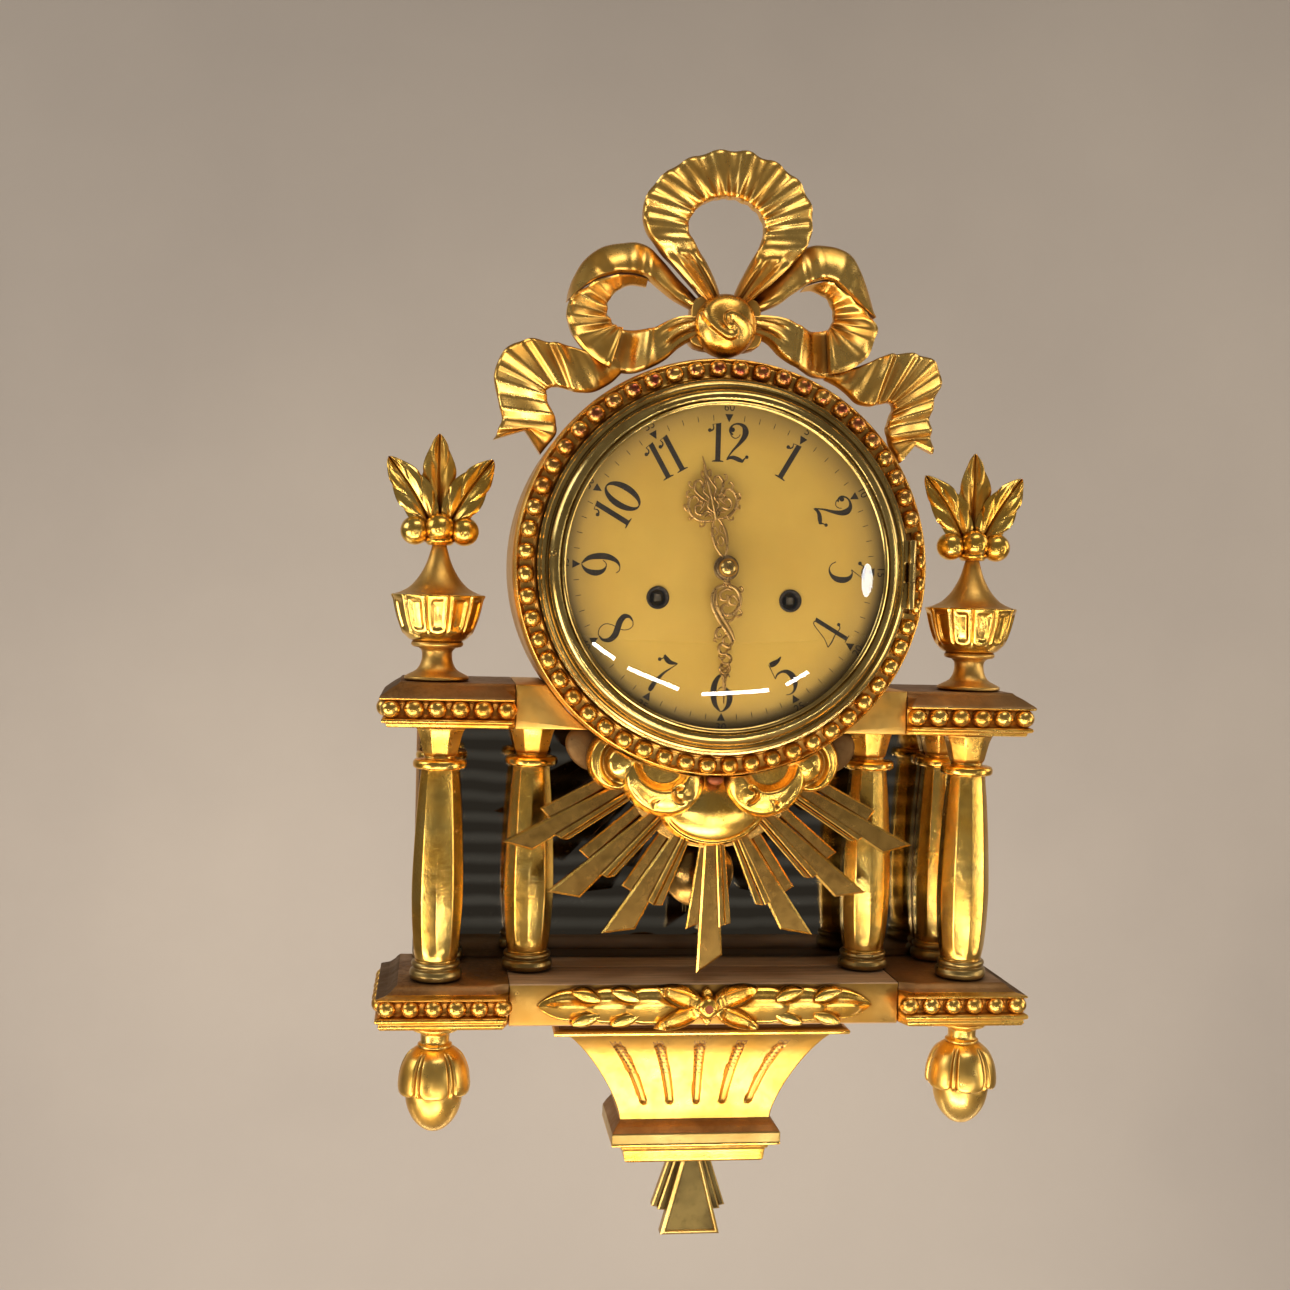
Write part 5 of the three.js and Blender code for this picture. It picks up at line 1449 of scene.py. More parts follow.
# ---------------------------------------------------------------- garland
def husk(tip_x, length, half, side, q0, b, zc=-249.4, mat=0, under=False):
    """One full husk: a pointed, keeled body that broadens at once and runs in under the next."""
    nu, nv = 64, 45
    f, bk = np.zeros((nu, nv, 3)), np.zeros((nu, nv, 3))
    for i in range(nu):
        u = i / (nu - 1)
        w = max(half * math.sin(math.pi / 2 * min(u / 0.46, 1)) ** 0.86 * (1 - 0.22 * smooth01((u - 0.72) / 0.28)), 0.08)
        rise = smooth01(u / 0.30)
        for j in range(nv):
            v = -1 + 2 * j / (nv - 1)
            av = abs(v)
            keel = (1.0 + 5.0 * rise) * (1 - av) ** 0.92
            if v > 0:
                keel -= 1.5 * rise * math.exp(-((av - 0.42) / 0.24) ** 2)
            else:
                keel += 0.5 * rise * math.sin(math.pi * av)
            lip = 0.9 * rise * math.exp(-((av - 0.93) / 0.07) ** 2)
            q = q0 + 0.9 + keel + lip - (3.0 * smooth01((u - 0.60) / 0.40) if under else 0.0)
            z = zc + v * w + 0.3 * math.sin(u * 3.0)
            f[i, j] = (side * (tip_x - u * length), q, z)
            bk[i, j] = (side * (tip_x - u * length), q0 - 0.6, zc + v * w)
    sheet_solid(f, bk, b, mat)


def small_leaf(root, tip, width, q0, h, b, mat=0, hollow=True, nu=36, nv=21, lift=0.0):
    """A pointed leaf or petal from root to tip in the (x, z) plane, with a raised border and a hollow face."""
    rx, rz = root
    dx, dz = tip[0] - rx, tip[1] - rz
    L = math.hypot(dx, dz)
    ux, uz, px, pz = dx / L, dz / L, -dz / L, dx / L
    f, bk = np.zeros((nu, nv, 3)), np.zeros((nu, nv, 3))
    for i in range(nu):
        u = i / (nu - 1)
        w = max(width / 2 * math.sin(math.pi * min(1.0, u * 0.88 + 0.12)) ** 0.8, 0.05)
        for j in range(nv):
            v = -1 + 2 * j / (nv - 1)
            av = abs(v)
            dome = h * (1 - av ** 4) * smooth01((1 - u) / 0.12) ** 0.6
            if hollow:
                k = smooth01((u - 0.10) / 0.2) * smooth01((0.93 - u) / 0.2)
                dome -= h * 0.74 * (1 - smooth01((av - 0.42) / 0.26)) * k
            q = q0 + max(dome, 0) + lift * u * (1 - u) * 4
            x, z = rx + ux * u * L + px * v * w, rz + uz * u * L + pz * v * w
            f[i, j] = (x, q, z)
            bk[i, j] = (x, q0 - 0.7, z)
    sheet_solid(f, bk, b, mat)


def garland():
    b = Body()
    q0, zc = 66.5, -249.4
    for s in (-1, 1):
        husk(97.0, 40, 9.0, s, q0, b, under=True)
        husk(76.5, 40, 10.2, s, q0 + 1.2, b, under=True)
        husk(54.5, 42, 10.6, s, q0 + 2.2, b, under=True)
        for x0 in (75.0, 52.6):
            k = 1.0 if x0 > 60 else 1.05
            # full side tips that curl out above and below each joint
            small_leaf((s * (x0 - 13), zc + 4.4), (s * (x0 + 3.6), zc + 9.6 * k), 9.4, q0 + 2.4, 4.6, b, hollow=False, lift=0.6)
            small_leaf((s * (x0 - 13), zc - 4.4), (s * (x0 + 3.6), zc - 9.6 * k), 9.0, q0 + 2.4, 4.4, b, hollow=False, lift=0.6)
    # central flower
    for sx in (-1, 1):
        small_leaf((sx * 3, zc + 0.8), (sx * 29.5, zc + 11.2), 13.4, q0 + 3.0, 5.0, b, lift=1.4)
        small_leaf((sx * 3, zc - 0.8), (sx * 30.5, zc - 12.2), 11.6, q0 + 3.4, 5.2, b, lift=1.8)
    small_leaf((0, zc - 3), (0, zc - 11.0), 7.4, q0 + 1.4, 3.4, b, hollow=False)
    small_leaf((0, zc + 3), (0, zc + 11.0), 7.4, q0 + 1.4, 3.4, b, hollow=False)
    knob = [(0, 77.4), (2.4, 77.4), (4.0, 77.0), (5.6, 75.6), (6.7, 73.4), (6.9, 71.4), (6.4, 69.6), (5.2, 68.6)]
    prof = catmull(knob, 5).tolist()
    prof = [(0.0, 77.4)] + [tuple(p) for p in prof[1:]] + [(4.8, 66.6), (0, 66.6)]
    kb = lathe(prof, (0, zc), axis="q", seg=56, shape=lambda a, r, h: r * (1 + 0.03 * math.cos(4 * a)))
    kb.m = [1 if max(np.hypot(kb.v[0][i][0], kb.v[0][i][2] - zc) for i in f) < 2.6 and min(kb.v[0][i][1] for i in f) > 70 else 0 for f in kb.f]
    b.join(kb)
    emit("laurel_garland_carved", b, [GILT_BRIGHT, BOLE], stands_for=["laurel_garland"], sharp=42)


sunburst()
clouds()
garland()


# ---------------------------------------------------------------- ribbon bow
def zigzag(keys, soft=0.16):
    """Piecewise pleat heights through (s, h) keys with slightly rounded ridges."""
    ks = np.array([k[0] for k in keys], float)
    hs = np.array([k[1] for k in keys], float)

    def f(s):
        # a small box filter rounds the arrises
        w = soft * 0.012
        return float(np.mean(np.interp([s - w, s - w / 2, s, s + w / 2, s + w], ks, hs)))
    return f


def band(stations, height, n=240, m=17, across=None, thick=7.0, floor=56.5, scallop=None, body=None, mat=0, end=None, curve=None):
    """A carved ribbon between two edges. stations: pairs (edge a, edge b) of (x, z). height(s, t) gives q, with s along
    and t across (0 on edge a). scallop(s) pushes both edges out with the pleats. curve is not used."""
    A = resample_pair(stations, n)
    f, bk = np.zeros((n, m, 3)), np.zeros((n, m, 3))
    for i in range(n):
        s = i / (n - 1)
        a, c = A[0][i], A[1][i]
        d = c - a
        ln = max(np.linalg.norm(d), 1e-6)
        u = d / ln
        sc = scallop(s) if scallop else 0.0
        a2, c2 = a - u * sc, c + u * sc * 0.6
        for j in range(m):
            t = j / (m - 1)
            p = a2 + (c2 - a2) * t
            if end is not None:
                p = end(s, t, p)
            # the left half of the bow is carved a little wider than the right
            if p[0] < 0:
                p = np.array([p[0] * 1.035, p[1]])
            q = height(s, t)
            # rolled edges
            e = min(t, 1 - t) * ln
            roll = 1.1 * (1 - min(1.0, e / 1.3)) ** 2
            f[i, j] = (p[0], q - roll, p[1])
            bk[i, j] = (p[0], max(floor, q - thick), p[1])
    body = body or Body()
    return sheet_solid(f, bk, body, mat)


def resample_pair(stations, n):
    a = catmull([s[0] for s in stations], 24)
    c = catmull([s[1] for s in stations], 24)
    mid = (a + c) / 2
    d = np.r_[0, np.cumsum(np.linalg.norm(np.diff(mid, axis=0), axis=1))]
    s = np.linspace(0, d[-1], n)
    out = []
    for p in (a, c):
        out.append(np.stack([np.interp(s, d, p[:, 0]), np.interp(s, d, p[:, 1])], 1))
    return out


def bell(x, c, w):
    return math.exp(-((x - c) / w) ** 2)


def top_loop():
    st = [((-9, 147), (-3, 147)), ((-19.5, 158.5), (-4.5, 156.5)), ((-30.5, 170.5), (-11.4, 171.5)), ((-39.5, 180.5), (-18.4, 182.5)), ((-44.6, 188.5), (-21.6, 188.0)),
          ((-46.4, 198.5), (-21.4, 193.6)), ((-43.8, 209), (-18.8, 199.2)), ((-35.5, 219), (-14.6, 203.8)), ((-24, 227.4), (-9.0, 206.9)), ((-10.5, 232.6), (-3.4, 208.3)),
          ((4.5, 234.2), (2.0, 208.4)), ((18, 231.6), (8.0, 207.2)), ((30.5, 226), (13.6, 204.4)), ((41.5, 216.5), (18.2, 200.2)), ((47.4, 204.5), (20.9, 194.8)),
          ((47.8, 192), (21.0, 189.0)), ((44.4, 181), (18.6, 181.6)), ((35.0, 170.2), (12.6, 170.4)), ((22.5, 158.2), (6.4, 157.8)), ((9.5, 147), (3, 147))]
    # pleats by their angle round the loop, clockwise from the top
    turn = [(-99, 0.0), (-91, 1.0), (-82, -1.1), (-72.5, 1.3), (-62, -1.1), (-51, 1.5), (-40.5, -1.2), (-30, 1.3), (-20, -1.5), (-9.5, 1.6), (1.0, -1.4), (11.5, 1.7),
            (22.5, -1.5), (33.5, 1.5), (44.0, -1.1), (54.5, 1.4), (65.0, -1.3), (74.5, 1.3), (83.5, -1.0), (91.5, 1.1), (99.5, 0.0)]
    z = zigzag([(0.0, 0.0)] + [(0.5 + 0.255 * d / 95.0, h * 1.65) for d, h in turn] + [(1.0, 0.0)], 1.0)

    def height(s, t):
        # t = 0 outside, 1 at the hole
        q = 69.6
        arch = math.sin(math.pi * min(max((s - 0.18) / 0.64, 0), 1))
        q += 0.6 * arch
        q += 1.6 * math.sin(math.pi * t) - 0.5 * t                       # crown
        q += z(s) * (0.80 + 0.75 * abs(t - 0.42) * 1.6)
        leg = 1 - smooth01((min(s, 1 - s) - 0.10) / 0.13)
        # the legs come forward to the knot with folds gathered lengthwise
        if leg > 0:
            fold = math.cos(TAU * (t * 2.1 + 0.12)) * 1.5 + 0.6 * math.cos(TAU * (t * 4.6 + 0.3))
            q += leg * (3.0 * (1 - abs(2 * t - 1) ** 2) + fold * (0.5 + 0.5 * leg))
        # a soft turn where leg and loop meet
        q += 1.6 * bell(min(s, 1 - s), 0.205, 0.022) - 1.5 * bell(min(s, 1 - s), 0.165, 0.022)
        return q
    return band(st, height, n=560, m=19, scallop=lambda s: 0.24 * z(s), thick=8.5)


def side_loop(side):
    if side < 0:
        A = [((-12, 149.5), (-12, 142.5)), ((-24, 161), (-27.2, 149.3)), ((-33, 171), (-34.1, 154)), ((-40.7, 178.5), (-42.7, 160.6)), ((-46, 181.5), (-47.5, 162.6)), ((-54, 181.4), (-53, 163.2)),
             ((-66.7, 178.6), (-59.6, 162.8)), ((-76.5, 171.4), (-66, 161.0)), ((-82.3, 162), (-73, 157.8)), ((-85.2, 154), (-79.4, 152.8)), ((-86.4, 147), (-84.8, 147.4))]
        B = [((-43, 160.6), (-43.0, 157.6)), ((-51.2, 162.2), (-51.0, 158.4)), ((-59.6, 161.6), (-57, 156)), ((-66, 160.0), (-60.5, 152.8)), ((-73, 157.0), (-62.8, 149.5)), ((-79.4, 152.2), (-64, 146)),
             ((-85.2, 147), (-64, 142)), ((-86.4, 140), (-63.2, 139.3)), ((-85.2, 132.5), (-61, 136.2)), ((-82.2, 126.6), (-59.8, 134.4)), ((-76, 119.0), (-58.8, 133.4)), ((-68.5, 113.2), (-57.8, 132.9)), ((-62.6, 110.2), (-56.2, 132.2))]
        C = [((-60, 134.0), (-66, 113.0)), ((-55, 132.8), (-60, 109.8)), ((-48.7, 132.2), (-51, 108.4)), ((-43, 132.8), (-45, 109.4)), ((-38.6, 133.8), (-38.5, 112.4)), ((-31.9, 137.6), (-31.4, 117.0)),
             ((-25, 140.4), (-24, 124)), ((-13, 142), (-12, 131.5))]
    else:
        A = [((12, 149.5), (12, 142.5)), ((24, 161), (29.2, 149.5)), ((34, 171), (37.7, 155.8)), ((42, 180), (46.1, 161.5)), ((48, 184.5), (51, 163.6)), ((56, 185.6), (56.5, 164.8)),
             ((66, 184.4), (61, 164.0)), ((74.5, 179.6), (66, 160.6)), ((80, 170), (72, 156.0)), ((84.8, 157), (79, 149.8)), ((87.6, 145.5), (86, 144.9))]
        B = [((45, 160.6), (44.5, 159.2)), ((51, 162.6), (50.5, 160.2)), ((58.2, 163.8), (55.5, 158.6)), ((63.4, 161.7), (59.5, 156.6)), ((69, 157.6), (62, 153)), ((75.9, 152.2), (63.6, 149.4)),
             ((81.4, 147), (64, 146)), ((86.8, 141), (63.8, 143)), ((86.8, 133.5), (62.5, 140.6)), ((83.4, 125), (61.4, 139.0)), ((77.7, 118.2), (60.5, 138.0)), ((69, 113.6), (59.8, 137.4)), ((60.6, 111.6), (58.6, 136.4))]
        C = [((62, 138.4), (64.5, 111.0)), ((56.5, 136.8), (57.5, 110.4)), ((50.4, 136.0), (50.5, 111.6)), ((46.5, 136.8), (45.5, 113.6)), ((41.5, 139), (39, 116.8)), ((36.3, 141.6), (32, 121.4)),
             ((27, 143.0), (24, 128.8)), ((13, 143.4), (12, 133.0))]
    body = Body()
    rnd = random.Random(9 if side < 0 else 17)

    def ha(s, t):
        # outside of the loop: t = 0 at the far top edge, 1 on the rim; it leans back towards the top
        q = 62.2 + 8.6 * math.sin(math.pi / 2 * min(1, t * 1.08)) ** 0.85
        q += 0.9 * bell(t, 0.95, 0.05)                                      # bright rim
        q -= 2.6 * (1 - smooth01(s / 0.16))
        q += 0.9 * bell(s, 0.40, 0.03) - 1.1 * bell(s, 0.455, 0.028) + 0.7 * bell(s, 0.52, 0.03) + 0.5 * bell(s, 0.66, 0.03) - 0.5 * bell(s, 0.74, 0.03)
        q += (0.9 * math.cos(TAU * (t * 1.6)) ) * (1 - smooth01((s - 0.08) / 0.16))
        return q
    band(A, ha, n=220, m=19, thick=9, floor=57, body=body)

    keys, s, up = [(0, 0), (0.20, 0)], 0.22, True
    while s < 0.80:
        keys.append((s, (1.9 if up else -1.7) * rnd.uniform(0.75, 1.2)))
        s += (0.060 if up else 0.082) * rnd.uniform(0.8, 1.25)
        up = not up
    keys += [(0.83, 0), (1, 0)]
    z = zigzag(keys, 1.1)

    def hb(s, t):
        # inside of the loop, falling back to the hole; the lower turn comes forward again
        depth = 8.0 * (1 - smooth01((s - 0.55) / 0.4))
        q = 69.8 - depth * t ** 0.8 + z(s) * (0.55 + 0.6 * t)
        q -= 0.9 * (1 - smooth01(s / 0.2))
        q += 1.7 * smooth01((s - 0.80) / 0.2) - 0.8 * bell(s, 0.86, 0.04)
        q += 1.2 * bell(s, 0.985, 0.02)
        q += 1.0 * bell(t, 0.03, 0.05) * smooth01((s - 0.4) / 0.1)
        return q
    band(B, hb, n=340, m=17, thick=7, floor=57, scallop=lambda s: 0.22 * z(s), body=body)

    def hc(s, t):
        q = 62.6 + 7.4 * smooth01((s - 0.10) / 0.28)
        q += 1.6 * bell(s, 0.40, 0.045) - 0.8 * bell(s, 0.23, 0.05)
        k = smooth01((s - 0.46) / 0.25)
        q += k * (1.2 * math.cos(TAU * (t * 2.3 + 0.1)) + 0.5 * math.cos(TAU * (t * 5 + 0.4)))
        q += 1.2 * math.sin(math.pi * t)
        return q
    band(C, hc, n=200, m=19, thick=7, floor=57, body=body)
    return body


def bow():
    b = Body()
    b.join(side_loop(-1))
    b.join(side_loop(1))
    b.join(top_loop())
    # the block behind the knot that ties the loops together
    p = np.array([(-17, 124), (17, 124), (20, 140), (15, 152), (-15, 152), (-20, 140)], float)
    slab(catmull(p, 6, closed=True), 57, 70, 1.2, 3, b)
    emit("ribbon_bow_carved", b, RIBBON, stands_for=["ribbon_bow"], sharp=48)


def rosette():
    cx, cz, R = -0.4, 136.0, 17.6
    b = Body()

    def fold(u, v):
        # a rosebud: broad folds that overlap as they wind in, each with a full lip and a dark cut behind it
        x, y = u - 0.06, v + 0.07
        r, a = math.hypot(x, y), math.atan2(y, x)
        wind = (a + 2.55 * math.log(r + 0.10) + 0.55 * math.sin(2 * a + 0.6)) / TAU * 2
        f = wind % 1.0
        live = float(smooth01((r - 0.06) / 0.12)) * (1 - float(smooth01((math.hypot(u, v) - 0.86) / 0.12)))
        lip = float(smooth01(f / 0.80)) ** 1.6 - float(smooth01((f - 0.86) / 0.12))
        return live * (2.5 * lip - 1.0) + 0.8 * math.exp(-(r / 0.12) ** 2)
    lobe((cx, cz), R, R, 0, 13.6, 70.6, b, fn=fold, power=2.25, seg=200, rows=96)
    emit("knot_rosette_carved", b, GILT_BEAD, stands_for=["bow_rosette"], sharp=60)


def tails():
    for side, tag in ((-1, "left"), (1, "right")):
        if side < 0:
            st = [((-52, 118.5), (-54, 110)), ((-60, 117.2), (-60, 103.6)), ((-68, 117.4), (-67, 98.6)), ((-76, 119.0), (-73, 96.4)), ((-84, 121.2), (-78, 96.2)), ((-93.7, 122.8), (-83, 97.0)), ((-103, 124.4), (-88, 98.4)),
                  ((-110.5, 123.4), (-92.0, 98.6)), ((-117.2, 119.4), (-94.6, 98.0)), ((-122.4, 112.8), (-96.0, 96.8)), ((-124.4, 105), (-96.4, 94.8)), ((-123.6, 95.8), (-95.8, 91)), ((-121.4, 87.6), (-93.0, 84.8)),
                  ((-120.0, 80.4), (-90.6, 78.4)), ((-121.4, 74.5), (-91.2, 71.5)), ((-124.3, 68), (-98.8, 60.6))]
            notch, tips = (-107.6, 73.4), ((-124.6, 67.6), (-98.6, 60.2))
        else:
            st = [((60, 116.5), (60, 110)), ((68.4, 115.4), (66.8, 106.6)), ((76, 116.6), (73.6, 100.2)), ((83, 119.4), (78.4, 96.2)), ((91, 123.2), (84, 95.0)), ((101.3, 125.6), (90, 96.0)), ((111, 125.6), (94.2, 97.2)),
                  ((119.2, 123.2), (96.8, 97.2)), ((124.8, 118), (98.2, 96.2)), ((126.6, 111), (98.6, 94.4)), ((124.4, 103), (98.0, 91.2)), ((121.8, 94.4), (96.4, 86.6)), ((121.2, 86), (95.8, 80.6)),
                  ((122.4, 78.4), (98.0, 74.4)), ((123.0, 73.6), (100.4, 69.4)), ((123.4, 69.2), (104.2, 63.4))]
            notch, tips = (112.6, 73.6), ((123.8, 68.8), (103.8, 63.0))
        rnd = random.Random(77 if side < 0 else 78)
        keys, s, up = [(0, 0), (0.30, 0.0)], 0.34, True
        while s < 0.985:
            fine = 0.046 if s < 0.62 else 0.052
            keys.append((s, (2.0 if up else -1.8) * rnd.uniform(0.75, 1.15)))
            s += fine * (0.85 if up else 1.2) * rnd.uniform(0.8, 1.3)
            up = not up
        keys += [(1.0, 0.2)]
        z = zigzag(keys, 0.95)
        broad = zigzag([(0, 0), (0.07, 0.9), (0.12, -0.7), (0.19, 1.1), (0.25, -0.8), (0.31, 1.2), (0.36, 0)], 1.2)

        def height(s, t):
            q = 61.5 + 7.5 * smooth01(s / 0.22)
            q += 1.2 * math.sin(math.pi * t)
            q += broad(min(1, max(0, s + 0.10 * (t - 0.5)))) * (0.9)
            q += z(s) * (0.65 + 0.7 * (1 - t) if s < 0.62 else 0.95 + 0.2 * math.cos(TAU * t))
            q -= 2.2 * smooth01((s - 0.55) / 0.45)
            return q

        def end(s, t, p):
            # the last stretch opens into the swallow tail
            k = smooth01((s - 0.86) / 0.14)
            if k <= 0:
                return p
            tn = 0.56 if side < 0 else 0.52
            if t < tn:
                w = t / tn
                e = np.array([tips[0][0] + (notch[0] - tips[0][0]) * w, tips[0][1] + (notch[1] - tips[0][1]) * w])
            else:
                w = (t - tn) / (1 - tn)
                e = np.array([notch[0] + (tips[1][0] - notch[0]) * w, notch[1] + (tips[1][1] - notch[1]) * w])
            base = np.array(tips[0]) * (1 - t) + np.array(tips[1]) * t
            return p + (e - base) * k
        b = band(st, height, n=520, m=27, scallop=lambda s: 0.22 * z(s) + 0.10 * broad(s), thick=6.5, floor=55.5, end=end)
        emit(f"ribbon_tail_carved_{tag}", b, RIBBON, stands_for=[f"ribbon_tail_{tag}"], sharp=48)


bow()
rosette()
tails()


# ---------------------------------------------------------------- dial markings
class Inkwork:
    """Flat painted strokes standing a few hundredths of a millimetre proud of the dial."""

    def __init__(self, q=88.0, rise=0.07):
        self.b, self.q, self.rise, self.k = Body(), q, rise, 0

    def put(self, centre, turn, scale):
        self.c, self.a, self.s = centre, turn, scale
        return self

    def _xy(self, p):
        p = np.asarray(p, float) * self.s
        ca, sa = math.cos(self.a), math.sin(self.a)
        return np.stack([self.c[0] + p[:, 0] * ca - p[:, 1] * sa, self.c[1] + p[:, 0] * sa + p[:, 1] * ca], 1)

    def _q(self):
        self.k += 1
        return self.q + self.rise + 0.0012 * (self.k % 9)

    def stroke(self, pts, widths, n=10, smooth=True):
        p = catmull(pts, n) if smooth else np.asarray(pts, float)
        w = np.interp(np.linspace(0, 1, len(p)), np.linspace(0, 1, len(widths)), widths)
        if smooth:
            w = np.interp(np.linspace(0, 1, len(p)), np.linspace(0, 1, len(catmull(np.array(widths)[:, None], 6))), catmull(np.array(widths)[:, None], 6)[:, 0])
        t = np.gradient(p, axis=0)
        t /= np.maximum(np.linalg.norm(t, axis=1, keepdims=True), 1e-9)
        nr = np.stack([-t[:, 1], t[:, 0]], 1)
        w = np.maximum(w + 0.020 * np.clip(w / 0.03, 0, 1), 0.004)
        l, r = self._xy(p + nr * w[:, None] / 2), self._xy(p - nr * w[:, None] / 2)
        q = self._q()
        f = np.zeros((len(p), 2, 3))
        f[:, 0, 0], f[:, 0, 2], f[:, 1, 0], f[:, 1, 2] = l[:, 0], l[:, 1], r[:, 0], r[:, 1]
        f[:, :, 1] = q
        g = f.copy()
        g[:, :, 1] = self.q - 0.05
        sheet_solid(f, g, self.b)
        return self

    def poly(self, pts):
        p = self._xy(pts)
        q = self._q()
        n = len(p)
        v = np.concatenate([np.stack([p[:, 0], np.full(n, q), p[:, 1]], 1), np.stack([p[:, 0], np.full(n, self.q - 0.05), p[:, 1]], 1)])
        faces = [tuple(range(n)), tuple(range(2 * n - 1, n - 1, -1))] + [(k, n + k, n + (k + 1) % n, (k + 1) % n) for k in range(n)]
        self.b.add(v, faces)
        return self

    def dot(self, x, y, r, n=24):
        return self.poly([(x + r * math.cos(TAU * k / n), y + r * math.sin(TAU * k / n)) for k in range(n)])


